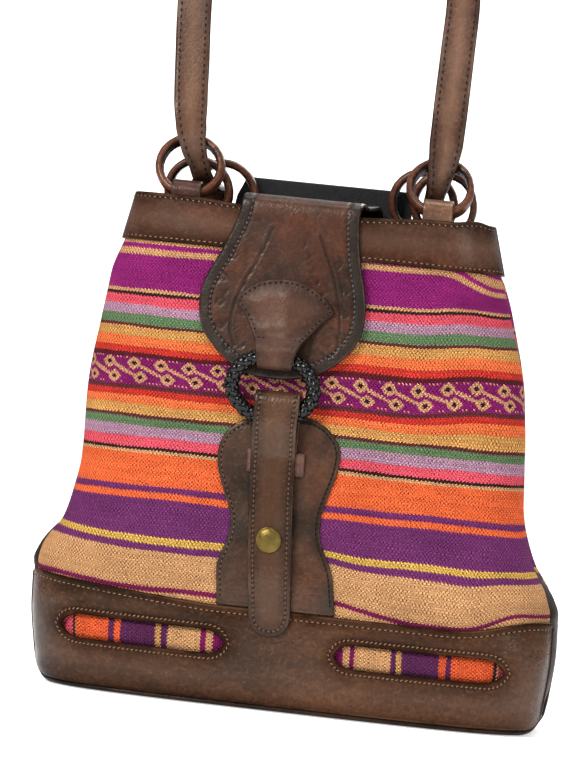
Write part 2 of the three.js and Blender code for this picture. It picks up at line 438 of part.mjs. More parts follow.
// ------------------------------------------------------------------ carrying strap
// rows of [x, y, z, width, thickness, twist in degrees] from the left base anchor over the arch to the right one
{
  const legBack = (sx) => {
    const out = [];
    for (const [z, x] of [[24, 113], [40, 110.5], [58, 107.6], [75, 104], [95, 99.5], [120, 94], [150, 88], [180, 82.8], [210, 78.2], [240, 74], [262, 71.4], [280, 69.6], [292, 68.6]]) {
      const zc = Math.min(z, 296), slope = (wallY(x + 4, zc, 1, 0) - wallY(x - 4, zc, 1, 0)) / 8;
      out.push([sx * x, wallY(x, zc, 1, GAP + SKIN + GAP + STRAP_T / 2 + (z > 250 ? 0.9 : 0.5)), z, 18.5, STRAP_T, 0, sx * slope]);
    }
    return out;
  };
  const left = [[-68, 39.4, 301, 15, 3.6, 0], [-68, 36, 304.8, 12.5, 4.2, 0], [-68, 29, 305.2, 12, 4.4, 0], [-68, 20, 305, 12, 4.4, 0], [-68.2, 10, 305, 12, 4.4, 8], [-69, 0, 306.5, 12, 4.4, 22],
    [-70.4, -7, 310.6, 12.5, 4.2, 36], [-72.4, -12, 318, 13.5, 3.9, 40], [-75.6, -16.4, 328, 16, 3.4, 26], [-77.6, -17.4, 340, 18.6, 3.1, 12], [-79, -15.4, 356, 20.4, STRAP_T, 4], [-80, -12, 380, STRAP_W, STRAP_T, 0],
    [-81, -9, 405, STRAP_W, STRAP_T, 0]];
  const right = [[68, 39.4, 302.4, 15, 3.6, 0], [68, 36, 306.8, 12.5, 4.2, 0], [68, 29, 307.6, 12, 4.4, 0], [68, 20, 307.6, 12, 4.4, 0], [68.2, 10, 308, 12, 4.4, -6], [69, 2, 310, 12.4, 4.4, -16],
    [70.6, -4, 314.4, 13.4, 4, -26], [72.6, -8.2, 322, 15.6, 3.6, -26], [74.6, -10.6, 333, 18.4, 3.1, -14], [76, -11.4, 346, 20.4, STRAP_T, -4], [77.6, -10.6, 370, STRAP_W, STRAP_T, 0], [79.4, -8, 400, STRAP_W, STRAP_T, 0]];
  const rows = [...legBack(-1), ...left];
  for (let i = 0; i <= 16; i++) {
    const a = PI - PI * i / 16;
    rows.push([ARCH_R * Math.cos(a), -6 + 4 * Math.sin(a), ARCH_Z + ARCH_R * Math.sin(a), STRAP_W, STRAP_T, 0]);
  }
  rows.push(...right.slice().reverse(), ...legBack(1).reverse());
  // smooth curve through the rows
  const curve = new THREE.CatmullRomCurve3(rows.map((r) => new THREE.Vector3(r[0], r[1], r[2])), false, 'centripetal');
  const R = rows.length - 1, per = 1, N = R * per, frames = [];
  for (let i = 0; i <= N; i++) {
    const t = i / N, p = curve.getPoint(t), tan = curve.getTangent(t), k = Math.min(Math.floor(i / per), R - 1), f = i / per - k;
    // the flat of the strap holds the X axis except on the arch, where it holds the Y axis with its face outward
    const mix = (j) => THREE.MathUtils.lerp(rows[k][j], rows[k + 1][j], f);
    // on the arch the strap turns from facing the front to lying across the arch
    const arch = p.z > 350 ? smooth((p.z - ARCH_Z - 4) / 50) * PI / 2 : 0, slope = THREE.MathUtils.lerp(rows[k][6] || 0, rows[k + 1][6] || 0, f);
    const wide = new THREE.Vector3(Math.cos(arch), Math.sin(arch) + slope, 0);
    wide.addScaledVector(tan, -wide.dot(tan)).normalize();
    const tw = THREE.MathUtils.degToRad(mix(5));
    wide.applyAxisAngle(tan, tw);
    frames.push({ p, wide, flat: new THREE.Vector3().crossVectors(tan, wide).normalize(), w: mix(3), t: mix(4) });
  }
  add('shoulder_strap', slab(1, N, (u, v, w) => {
    const f = frames[Math.round(v * N)], a = (u - 0.5) * f.w, b = (w - 0.5) * f.t;
    return [f.p.x + f.wide.x * a + f.flat.x * b, f.p.y + f.wide.y * a + f.flat.y * b, f.p.z + f.wide.z * a + f.flat.z * b];
  }), BROWN);
  // rivets that hold the strap's ends on the base
  for (const [name, sx] of [['left_strap_rivet', -1], ['right_strap_rivet', 1]]) {
    const x = sx * 110.5, z = 38;
    const g = new THREE.LatheGeometry([[0, 0], [4, 0], [4.2, 0.5], [3.4, 1.3], [0, 1.7]].map((q) => new THREE.Vector2(q[0], q[1])), 14);
    const slope = Math.atan2(wallY(110.5 + 4, z, 1, 0) - wallY(110.5 - 4, z, 1, 0), 8);
    g.rotateZ(sx * slope);
    const off = GAP + SKIN + GAP + STRAP_T + 0.1 + 0.75;
    const q = [x + sx * off * Math.sin(-slope), wallY(110.5, z, 1, 0) + off * Math.cos(slope), z];
    g.translate(q[0], q[1], q[2]);
    add(name, leaned(g), BRASS);
  }
}

export default bag;
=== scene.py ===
import bpy, math, random
import numpy as np
from mathutils import Vector, Matrix, noise
from mathutils.geometry import delaunay_2d_cdt


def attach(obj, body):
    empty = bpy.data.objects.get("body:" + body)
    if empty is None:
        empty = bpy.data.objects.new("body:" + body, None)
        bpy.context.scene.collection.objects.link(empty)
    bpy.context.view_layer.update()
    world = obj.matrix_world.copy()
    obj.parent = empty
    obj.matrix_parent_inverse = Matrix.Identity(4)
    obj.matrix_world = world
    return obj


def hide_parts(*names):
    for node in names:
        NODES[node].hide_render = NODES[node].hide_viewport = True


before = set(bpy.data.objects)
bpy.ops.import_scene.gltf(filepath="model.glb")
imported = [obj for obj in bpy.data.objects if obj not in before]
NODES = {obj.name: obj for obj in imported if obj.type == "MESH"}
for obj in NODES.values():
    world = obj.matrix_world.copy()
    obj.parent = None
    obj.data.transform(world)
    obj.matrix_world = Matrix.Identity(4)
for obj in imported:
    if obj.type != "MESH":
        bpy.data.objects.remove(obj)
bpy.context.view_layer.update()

ROOT = "bag"
pi = math.pi

# ------------------------------------------------------------------ camera (the photograph's view, rolled)
AZ, EL, ROLL, DIST = map(math.radians, (7.0, 1.0, 5.9, 0.0))
DIST = 2.5
_r = Vector((math.cos(AZ), math.sin(AZ), 0))
_d = Vector((-math.sin(AZ) * math.cos(EL), math.cos(AZ) * math.cos(EL), -math.sin(EL)))
_u = _r.cross(_d)
RC = _r * math.cos(ROLL) + _u * math.sin(ROLL)
UC = -_r * math.sin(ROLL) + _u * math.cos(ROLL)
TARGET = Vector((-0.0049, 0.00255, 0.150))
AIM = TARGET - RC * 0.00963 + UC * 0.04307
cam_data = bpy.data.cameras.new("photo_camera")
cam = bpy.data.objects.new("photo_camera", cam_data)
bpy.context.scene.collection.objects.link(cam)
cam.matrix_world = Matrix((( RC.x, UC.x, -_d.x, 0), (RC.y, UC.y, -_d.y, 0), (RC.z, UC.z, -_d.z, 0), (0, 0, 0, 1)))
cam.matrix_world.translation = AIM - _d * DIST
cam_data.sensor_fit = "HORIZONTAL"
cam_data.sensor_width = 36
cam_data.lens = 259.7
cam_data.clip_end = 100
bpy.context.scene.camera = cam
bpy.context.scene.view_settings.view_transform = "Standard"

# ------------------------------------------------------------------ shape of the bag, millimetres, as in the solids
LEAN, LEAN_Z, SHIFT_X, SHIFT_Y = -0.045, 150.0, -4.9, 2.55
HALF_WIDTH = [[12, 156], [71, 156], [80, 153], [100, 140], [118, 135], [135, 132], [170, 131], [222, 125.5], [238, 122.5], [260, 118], [271, 115], [300, 108], [320, 104]]
HALF_DEPTH = [[0, 57], [6, 60], [70, 60], [100, 57], [130, 53], [160, 50], [200, 45.5], [240, 41], [271, 38], [300, 36], [320, 35]]
SQUARENESS = [[0, 3.4], [70, 3.4], [130, 2.9], [220, 2.9], [300, 3.2]]
CORNER_R, CLOTH, SKIN, GAP, SEAM_F, GUSSET_TOP = 12.0, 1.6, 2.0, 0.3, 0.35, 112.0
BAND_LOW = 269.0
WINDOW_Z, WINDOW_HALF_H, WINDOW_HALF_L, WINDOW_X = 37.4, 6.9, 49.3, 82.0


def smooth(t):
    t = np.clip(t, 0, 1)
    return t * t * (3 - 2 * t)


def pchip(rows, k=1):
    xs = np.array([r[0] for r in rows], float)
    ys = np.array([r[k] for r in rows], float)
    flip = xs[0] > xs[-1]
    if flip:
        xs, ys = xs[::-1], ys[::-1]
    h = np.diff(xs)
    d = np.diff(ys) / h
    n = len(xs)
    m = np.zeros(n)
    m[0], m[-1] = d[0], d[-1]
    for j in range(1, n - 1):
        a, b = d[j - 1], d[j]
        m[j] = 0 if a * b <= 0 else 3 * (h[j - 1] + h[j]) / ((2 * h[j] + h[j - 1]) / a + (h[j] + 2 * h[j - 1]) / b)

    def f(t):
        t = np.clip(np.asarray(t, float), xs[0], xs[-1])
        i = np.clip(np.searchsorted(xs, t, side="right") - 1, 0, n - 2)
        s = (t - xs[i]) / h[i]
        s2, s3 = s * s, s * s * s
        return (2 * s3 - 3 * s2 + 1) * ys[i] + (s3 - 2 * s2 + s) * h[i] * m[i] + (-2 * s3 + 3 * s2) * ys[i + 1] + (s3 - s2) * h[i] * m[i + 1]
    return f


_hw, half_depth, squareness = pchip(HALF_WIDTH), pchip(HALF_DEPTH), pchip(SQUARENESS)


def half_width(z):
    z = np.asarray(z, float)
    c = np.clip(z, 0, CORNER_R)
    return np.where(z < CORNER_R, 156 - CORNER_R + np.sqrt(np.clip(CORNER_R ** 2 - (CORNER_R - c) ** 2, 0, None)), _hw(z))


def seam_share(z):
    return 0.006 + (SEAM_F - 0.006) * (1 - smooth((np.asarray(z, float) - 66) / (GUSSET_TOP - 66)))


def outline(z, phi, off):
    n, w, d = squareness(z), half_width(z), half_depth(z)
    c, s = np.cos(phi), np.sin(phi)
    px, py = np.sign(c) * np.abs(c) ** (2 / n), np.sign(s) * np.abs(s) ** (2 / n)
    nx, ny = np.sign(c) * np.abs(px) ** (n - 1) / w, np.sign(s) * np.abs(py) ** (n - 1) / d
    l = np.maximum(np.hypot(nx, ny), 1e-9)
    return w * px + off * nx / l, d * py + off * ny / l


def wall_y(x, z, side, off):
    n, w, d = squareness(z), half_width(z), half_depth(z)
    q = np.minimum(np.abs(x / w), 0.995)
    y = d * (1 - q ** n) ** (1 / n)
    sx = (d / w) * q ** (n - 1) * (1 - q ** n) ** (1 / n - 1)
    return side * (y + off * np.hypot(1, np.minimum(sx, 2)))


# tables of the face from its middle to its side: place and outward direction against height and length along the outline
_ZG = np.arange(0, 321, 1.0)
_SG = np.arange(0, 231, 0.5)
_TX, _TY, _TNX, _TNY = (np.zeros((len(_ZG), len(_SG))) for _ in range(4))
_SSEAM = np.zeros(len(_ZG))
_SEND = np.zeros(len(_ZG))
for _i, _z in enumerate(_ZG):
    ph = np.linspace(pi / 2, 0, 3000)
    x, y = outline(_z, ph, 0.0)
    x1, y1 = outline(_z, ph, 1.0)
    L = np.concatenate([[0], np.cumsum(np.hypot(np.diff(x), np.diff(y)))])
    _TX[_i], _TY[_i] = np.interp(_SG, L, x), np.interp(_SG, L, y)
    _TNX[_i], _TNY[_i] = np.interp(_SG, L, x1 - x), np.interp(_SG, L, y1 - y)
    _SEND[_i] = L[-1]
    over = _SG > L[-1]
    _TY[_i][over] = -(_SG[over] - L[-1])
    yl = seam_share(_z) * half_depth(_z)
    _SSEAM[_i] = np.interp(-yl, -y, L)


def s_seam(z, trim=0.0):
    return np.interp(z, _ZG, _SSEAM) - trim


def face(side, s, z, off):
    """Point of the front (side -1) or back (side 1) wall at length s from the middle and height z, moved out by off."""
    s, z, off = np.broadcast_arrays(np.asarray(s, float), np.asarray(z, float), np.asarray(off, float))
    a = np.abs(s)
    fi, fj = np.clip(z, 0, 319.99), np.clip(a / 0.5, 0, len(_SG) - 1.01)
    i, j = fi.astype(int), fj.astype(int)
    u, v = fi - i, fj - j

    def g(T):
        return (T[i, j] * (1 - u) + T[i + 1, j] * u) * (1 - v) + (T[i, j + 1] * (1 - u) + T[i + 1, j + 1] * u) * v
    nx, ny = g(_TNX), g(_TNY)
    x, y = g(_TX) + off * nx, g(_TY) + off * ny
    return np.stack([np.sign(s) * x, side * y, z], -1)


def s_of_x(x, z):
    i = int(np.clip(round(float(z)), 0, 320))
    return np.sign(x) * np.interp(np.abs(x), _TX[i], _SG)


def lean(P):
    P = np.asarray(P, float).copy()
    # the mouth's right end is drawn in a little
    P[..., 0] -= 3.3 * smooth((P[..., 2] - 200) / 62) * smooth((P[..., 0] - 84) / 24)
    # and the base's corners taper in towards the floor
    P[..., 0] -= np.sign(P[..., 0]) * 4.6 * smooth((50 - P[..., 2]) / 48) * smooth((np.abs(P[..., 0]) - 112) / 40)
    P[..., 0] += LEAN * (P[..., 2] - LEAN_Z) + SHIFT_X
    P[..., 1] += SHIFT_Y
    return P


def base_top(x):
    return 59.5 + np.where(np.asarray(x) < 0, 7.6 * np.clip((np.abs(x) - 42) / 113, 0, 1) ** 1.2, 8.5 * smooth((np.abs(x) - 100) / 55))


def base_low(x):
    return 3.1 + 0.3 * smooth((np.abs(x) - 138) / 11)


def band_top(x):
    return 296.5 - 2.5 * np.exp(-((x / 45) ** 2)) + 1.5 * smooth((np.abs(x) - 30) / 50) + 1.6 * smooth((x - 84) / 16) - 1.2 * smooth((x - 104) / 8)


def wob(P, size, seed=0.0):
    """Smooth noise from -1 to 1 at each point of P, in mm."""
    P = np.asarray(P, float).reshape(-1, 3)
    return np.array([noise.noise(Vector((p[0] / size + seed, p[1] / size + seed * 1.7, p[2] / size - seed))) for p in P])


def wave(a, b, seed):
    """Cheap smooth noise on arrays: a few sines of unrelated length."""
    rnd = random.Random(seed)
    out = 0
    for k in range(5):
        fa, fb, p = rnd.uniform(-1, 1), rnd.uniform(-1, 1), rnd.uniform(0, 6.28)
        out = out + np.sin(a * fa + b * fb + p + 1.3 * np.sin(a * fb * 0.7 - b * fa * 0.6 + k))
    return out / 5


# ------------------------------------------------------------------ mesh makers
def make(name, verts_mm, faces, mats, uv=None, attrs=None, smooth_on=True, mat_index=None, leaned=True):
    V = lean(verts_mm) if leaned else np.asarray(verts_mm, float)
    V = V * 0.001
    me = bpy.data.meshes.new(name)
    lens = [len(f) for f in faces]
    me.vertices.add(len(V))
    me.vertices.foreach_set("co", V.astype(np.float32).ravel())
    flat = np.concatenate([np.asarray(f, np.int32) for f in faces]) if not isinstance(faces, np.ndarray) else faces.astype(np.int32).ravel()
    me.loops.add(len(flat))
    me.loops.foreach_set("vertex_index", flat)
    starts = np.concatenate([[0], np.cumsum(lens)[:-1]]).astype(np.int32)
    me.polygons.add(len(lens))
    me.polygons.foreach_set("loop_start", starts)
    me.update(calc_edges=True)
    me.validate()
    if uv is not None:
        lay = me.uv_layers.new(name="UVMap")
        idx = np.zeros(len(me.loops), np.int32)
        me.loops.foreach_get("vertex_index", idx)
        lay.data.foreach_set("uv", (np.asarray(uv, float)[idx] * 0.01).astype(np.float32).ravel())
    for k, val in (attrs or {}).items():
        at = me.attributes.new(k, "FLOAT", "POINT")
        at.data.foreach_set("value", np.asarray(val, np.float32))
    for m in mats:
        me.materials.append(m)
    if mat_index is not None:
        me.polygons.foreach_set("material_index", np.asarray(mat_index, np.int32))
    me.polygons.foreach_set("use_smooth", np.full(len(me.polygons), smooth_on))
    # outward faces
    tri_vol = 0.0
    me.calc_loop_triangles()
    t = np.zeros(len(me.loop_triangles) * 3, np.int32)
    me.loop_triangles.foreach_get("vertices", t)
    t = t.reshape(-1, 3)
    tri_vol = np.einsum("ij,ij->i", V[t[:, 0]], np.cross(V[t[:, 1]], V[t[:, 2]])).sum()
    if tri_vol < 0:
        me.flip_normals()
    me.update()
    ob = bpy.data.objects.new(name, me)
    bpy.context.scene.collection.objects.link(ob)
    return ob


def done(ob, slot, *nodes, body=ROOT):
    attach(ob, body)
    if nodes:
        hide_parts(*nodes)
    return ob


def resample(pts, step, closed=True):
    P = np.asarray(pts, float)
    if closed:
        P = np.vstack([P, P[:1]])
    L = np.concatenate([[0], np.cumsum(np.linalg.norm(np.diff(P, axis=0), axis=1))])
    n = max(3, int(round(L[-1] / step)))
    t = np.linspace(0, L[-1], n + 1)
    out = np.stack([np.interp(t, L, P[:, k]) for k in range(P.shape[1])], 1)
    return out[:-1] if closed else out


def spline(pts, step, closed=True):
    """Smooth curve through the points (centripetal Catmull-Rom), sampled at about step."""
    P = [np.asarray(p, float) for p in pts]
    n = len(P)
    out = []
    rng = range(n) if closed else range(n - 1)
    for i in rng:
        p0 = P[(i - 1) % n] if closed or i > 0 else 2 * P[0] - P[1]
        p1, p2 = P[i], P[(i + 1) % n]
        p3 = P[(i + 2) % n] if closed or i + 2 < n else 2 * P[-1] - P[-2]
        t = [0, 0, 0, 0]
        for k, (a, b) in enumerate(((p0, p1), (p1, p2), (p2, p3))):
            t[k + 1] = t[k] + max(np.linalg.norm(b - a), 1e-6) ** 0.5
        m = max(2, int(np.linalg.norm(p2 - p1) / step) + 1)
        for j in range(m):
            T = t[1] + (t[2] - t[1]) * j / m
            A1 = (t[1] - T) / (t[1] - t[0]) * p0 + (T - t[0]) / (t[1] - t[0]) * p1
            A2 = (t[2] - T) / (t[2] - t[1]) * p1 + (T - t[1]) / (t[2] - t[1]) * p2
            A3 = (t[3] - T) / (t[3] - t[2]) * p2 + (T - t[2]) / (t[3] - t[2]) * p3
            B1 = (t[2] - T) / (t[2] - t[0]) * A1 + (T - t[0]) / (t[2] - t[0]) * A2
            B2 = (t[3] - T) / (t[3] - t[1]) * A2 + (T - t[1]) / (t[3] - t[1]) * A3
            out.append((t[2] - T) / (t[2] - t[1]) * B1 + (T - t[1]) / (t[2] - t[1]) * B2)
    if not closed:
        out.append(P[-1])
    return resample(np.array(out), step, closed)


def area2(L):
    return 0.5 * np.sum(L[:, 0] * np.roll(L[:, 1], -1) - np.roll(L[:, 0], -1) * L[:, 1])


def dist_to(P, loops, closed=True):
    best = np.full(len(P), 1e9)
    for L in loops:
        A = L
        B = np.roll(L, -1, 0) if closed else L[1:]
        if not closed:
            A = L[:-1]
        for c in range(0, len(P), 4000):
            Q = P[c:c + 4000, None, :]
            ab = (B - A)[None]
            t = np.clip(((Q - A[None]) * ab).sum(-1) / np.maximum((ab ** 2).sum(-1), 1e-9), 0, 1)
            d = np.sqrt((((A[None] + ab * t[..., None]) - Q) ** 2).sum(-1)).min(1)
            best[c:c + 4000] = np.minimum(best[c:c + 4000], d)
    return best


def inside(P, loops):
    c = np.zeros(len(P), bool)
    for L in loops:
        A, B = L, np.roll(L, -1, 0)
        for k in range(0, len(P), 4000):
            x, y = P[k:k + 4000, 0][:, None], P[k:k + 4000, 1][:, None]
            cond = ((A[:, 1][None] > y) != (B[:, 1][None] > y)) & (x < (B[:, 0] - A[:, 0])[None] * (y - A[:, 1][None]) / (B[:, 1] - A[:, 1] + 1e-12)[None] + A[:, 0][None])
            c[k:k + 4000] ^= (cond.sum(1) % 2 == 1)
    return c


def inset(L, d):
    T = np.roll(L, -1, 0) - np.roll(L, 1, 0)
    T /= np.maximum(np.linalg.norm(T, axis=1)[:, None], 1e-9)
    return L + np.stack([-T[:, 1], T[:, 0]], 1) * d


def pattern(name, loops, fmap, thick, mats, grid=2.5, rim=0.9, step=1.4, relief=None, tooled=None):
    """A closed piece cut along loops in its own plane and put in place by fmap(a, b, h), edges rounded over."""
    LL = []
    for i, L in enumerate(loops):
        L = resample(L, step)
        if (area2(L) > 0) != (i == 0):
            L = L[::-1].copy()
        LL.append(L)
    pts, edges = [], []
    for L in LL:
        n0 = sum(len(p) for p in pts)
        pts.append(L)
        edges += [(n0 + i, n0 + (i + 1) % len(L)) for i in range(len(L))]
    extra = []
    rims = [0.07 * rim, 0.3 * rim, rim, rim + 0.55 * grid]
    for d in rims:
        for L in LL:
            Q = inset(L, d)
            ok = (dist_to(Q, LL) > d * 0.93) & inside(Q, LL)
            extra.append(Q[ok][:: (1 if d <= rim else 2)])
    lo, hi = LL[0].min(0), LL[0].max(0)
    gx, gy = np.arange(lo[0], hi[0], grid), np.arange(lo[1], hi[1], grid * 0.87)
    X, Y = np.meshgrid(gx, gy)
    X[1::2] += grid / 2
    G = np.stack([X.ravel(), Y.ravel()], 1)
    G = G[inside(G, LL)]
    G = G[dist_to(G, LL) > rim + grid * 1.05]
    P = np.vstack(pts + extra + [G])
    res = delaunay_2d_cdt([Vector(p) for p in P], edges, [], 0, 1e-5)
    V = np.array([[v.x, v.y] for v in res[0]])
    F = np.array([list(f) for f in res[2]])
    cen = V[F].mean(1)
    F = F[inside(cen, LL)]
    a = V[F]
    ar = (a[:, 1, 0] - a[:, 0, 0]) * (a[:, 2, 1] - a[:, 0, 1]) - (a[:, 2, 0] - a[:, 0, 0]) * (a[:, 1, 1] - a[:, 0, 1])
    F = F[np.abs(ar) > 1e-7]
    d = dist_to(V, LL)
    edge = d < 1e-3
    k = np.sqrt(np.clip(1 - (1 - np.minimum(d, rim) / rim) ** 2, 0, 1))
    k[edge] = 0
    up = k * thick / 2
    if relief is not None:
        up = up + relief(V[:, 0], V[:, 1], d) * np.minimum(k * 1.5, 1)
    T = fmap(V[:, 0], V[:, 1], up)
    Bm = fmap(V[:, 0], V[:, 1], -k * thick / 2)
    used = np.zeros(len(V), bool)
    used[F.ravel()] = True
    top_id = np.full(len(V), -1)
    bot_id = np.full(len(V), -1)
    top_id[used] = np.arange(used.sum())
    nb = used & ~edge
    bot_id[nb] = used.sum() + np.arange(nb.sum())
    bot_id[used & edge] = top_id[used & edge]
    verts = np.vstack([T[used], Bm[nb]])
    uv = np.vstack([V[used], V[nb]])
    dd = np.concatenate([d[used], d[nb]])
    back = np.concatenate([np.zeros(used.sum()), np.ones(nb.sum())])
    faces = np.vstack([top_id[F], bot_id[F][:, ::-1]])
    at = {"edge": dd, "back": back}
    if tooled is not None:
        tv = tooled(uv[:, 0], uv[:, 1], dd)
        at["tool"] = tv * (1 - back)
    return make(name, verts, faces, mats, uv, at)


def grid_solid(name, F, nu, nv, mats, close_u=False, close_v=False, uvf=None, attrs=None, leaned=True, caps=True):
    """Closed tube-like grid: F(u, v) with u round the section (closed) and v along; ends closed with a fan."""
    u = np.arange(nu) / nu
    v = np.linspace(0, 1, nv + 1) if not close_v else np.arange(nv) / nv
    U, W = np.meshgrid(u, v)
    P = F(U, W)
    n = len(v)
    idx = np.arange(n * nu).reshape(n, nu)
    f = []
    rows = n if close_v else n - 1
    a = idx[np.arange(rows)]
    b = idx[(np.arange(rows) + 1) % n]
    q = np.stack([a, np.roll(a, -1, 1), np.roll(b, -1, 1), b], -1).reshape(-1, 4)
    faces = [tuple(r) for r in q]
    verts = P.reshape(-1, 3)
    uv = np.stack([U.ravel() * 10, W.ravel() * 100], 1) if uvf is None else uvf(U, W).reshape(-1, 2)
    if not close_v and caps:
        verts = np.vstack([verts, P[0].mean(0), P[-1].mean(0)])
        uv = np.vstack([uv, uv[:nu].mean(0), uv[-nu:].mean(0)])
        c0, c1 = n * nu, n * nu + 1
        for i in range(nu):
            j = (i + 1) % nu
            faces.append((c0, idx[0, j], idx[0, i]))
            faces.append((c1, idx[-1, i], idx[-1, j]))
    at = {}
    for k, g in (attrs or {}).items():
        w = g(U, W).ravel()
        if not close_v and caps:
            w = np.concatenate([w, [w[:nu].mean(), w[-nu:].mean()]])
        at[k] = w
    return make(name, verts, faces, mats, uv, at, leaned=leaned)


def ribbon(name, C, Wd, Fl, w, t, mats, bow=0.0, nsec=9, leaned=True, along0=0.0):
    """A flat strip along centres C with its width direction Wd and its face direction Fl; w, t and bow in mm per row."""
    C, Wd, Fl = (np.asarray(a, float) for a in (C, Wd, Fl))
    w, t, bow = (np.broadcast_to(np.asarray(a, float), (len(C),)) for a in (w, t, bow))
    L = np.concatenate([[0], np.cumsum(np.linalg.norm(np.diff(C, axis=0), axis=1))]) + along0
    # section: top from -1 to 1, then bottom back, with rounded ends
    c = np.concatenate([[-1, -0.985, -0.94, -0.85], np.linspace(-0.7, 0.7, nsec), [0.85, 0.94, 0.985, 1]])
    def kk(c, w, t):
        d = (1 - np.abs(c))[None] * (w / 2)[:, None]
        r = (t * 0.5)[:, None]
        return np.sqrt(np.clip(1 - (1 - np.minimum(d, r) / r) ** 2, 0, 1))
    K = kk(c, w, t)
    top = (c[None] * (w / 2)[:, None], K * (t / 2)[:, None] + bow[:, None] * (1 - c[None] ** 2))
    cb = c[1:-1][::-1]
    Kb = kk(cb, w, t)
    bot = (cb[None] * (w / 2)[:, None], -Kb * (t / 2)[:, None] + bow[:, None] * (1 - cb[None] ** 2))
    A = np.concatenate([top[0], bot[0]], 1)
    H = np.concatenate([top[1], bot[1]], 1)
    n = A.shape[1]
    # ends: each closed with a fan to its middle point, below
    P = C[:, None] + Wd[:, None] * A[..., None] + Fl[:, None] * H[..., None]
    idx = np.arange(len(C) * n).reshape(len(C), n)
    a, b = idx[:-1], idx[1:]
    q = np.stack([a, np.roll(a, -1, 1), np.roll(b, -1, 1), b], -1).reshape(-1, 4)
    faces = [tuple(r) for r in q]
    verts = P.reshape(-1, 3)
    V = np.repeat(L[:, None], n, 1)
    uv = np.stack([A.ravel(), V.ravel()], 1)
    ed = np.minimum((w / 2)[:, None] - np.abs(A), np.minimum(V - L[0], L[-1] - V) + 0.0).ravel()
    back = np.repeat(np.concatenate([np.zeros(len(c)), np.ones(len(cb))])[None], len(C), 0).ravel()
    verts = np.vstack([verts, P[0].mean(0), P[-1].mean(0)])
    uv = np.vstack([uv, [0, L[0]], [0, L[-1]]])
    c0, c1 = len(C) * n, len(C) * n + 1
    for i in range(n):
        j = (i + 1) % n
        faces.append((c0, idx[0, j], idx[0, i]))
        faces.append((c1, idx[-1, i], idx[-1, j]))
    return make(name, verts, faces, mats, uv, {"edge": np.concatenate([np.maximum(ed, 0), [0, 0]]), "back": np.concatenate([back, [0, 0]])}, leaned=leaned)


_caps = {}


def capsule(seg=6, rings=5):
    if (seg, rings) not in _caps:
        v, f = [], []
        for i in range(rings + 1):
            a = pi * i / rings
            if i in (0, rings):
                v.append((-math.cos(a), 0, 0))
                continue
            for j in range(seg):
                b = 2 * pi * j / seg
                s = math.sin(a) ** 0.6
                v.append((-math.cos(a), s * math.cos(b), s * math.sin(b)))
        ring = lambda i: 1 + (i - 1) * seg
        for j in range(seg):
            k = (j + 1) % seg
            f.append((0, ring(1) + k, ring(1) + j))
            for i in range(1, rings - 1):
                f.append((ring(i) + j, ring(i) + k, ring(i + 1) + k, ring(i + 1) + j))
            f.append((ring(rings - 1) + j, ring(rings - 1) + k, len(v) - 1))
        _caps[(seg, rings)] = (np.array(v), f)
    return _caps[(seg, rings)]


HOLE_SCALE = 1.3


def stitches(name, rows, slot, body=ROOT, seed=1, leaned=True):
    """rows: list of dict(c=centres (N,3), t=directions (N,3), n=normals (N,3), length, width, slant, mat, hole)."""
    rnd = random.Random(seed)
    Vv, Ff, Mi, mats = [], [], [], []
    n0 = 0
    cv, cf = capsule()
    for r in rows:
        for m in (r["mat"], r.get("hole")):
            if m is not None and m not in mats:
                mats.append(m)
        sl = r.get("slant", 0.0)
        for c, t, n in zip(r["c"], r["t"], r["n"]):
            t = t / max(np.linalg.norm(t), 1e-9)
            n = n / max(np.linalg.norm(n), 1e-9)
            b = np.cross(n, t)
            a = math.radians(sl + rnd.uniform(-5, 5))
            tt = t * math.cos(a) + b * math.sin(a)
            bb = np.cross(n, tt)
            ln = r["length"] * rnd.uniform(0.9, 1.06) / 2
            wd = r["width"] / 2
            hh = r.get("height", r["width"] * 0.8) / 2
            V = c + cv[:, :1] * ln * tt + cv[:, 1:2] * wd * bb + cv[:, 2:3] * hh * n + n * r.get("lift", 0.05) - n * (cv[:, :1] ** 2) * r.get("dip", 0.25)
            Vv.append(V)
            Ff += [tuple(i + n0 for i in f) for f in cf]
            Mi += [mats.index(r["mat"])] * len(cf)
            n0 += len(cv)
            # small near-black pieces at the stitch ends: painted shade in the needle holes
            if r.get("hole") is not None:
                for e in (-1, 1)[r.get("one", 0):]:
                    hr = r.get("hole_r", 0.5) * HOLE_SCALE * rnd.uniform(0.85, 1.1)
                    hc = c + tt * ln * e * 1.05 + n * (r.get("lift", 0.05) - 0.02)
                    V = hc + cv[:, :1] * hr * tt + cv[:, 1:2] * hr * 0.85 * bb + cv[:, 2:3] * 0.16 * n
                    Vv.append(V)
                    Ff += [tuple(i + n0 for i in f) for f in cf]
                    Mi += [mats.index(r["hole"])] * len(cf)
                    n0 += len(cv)
    ob = make(name, np.vstack(Vv), Ff, mats, None, None, True, Mi, leaned=leaned)
    return done(ob, slot, body=body)


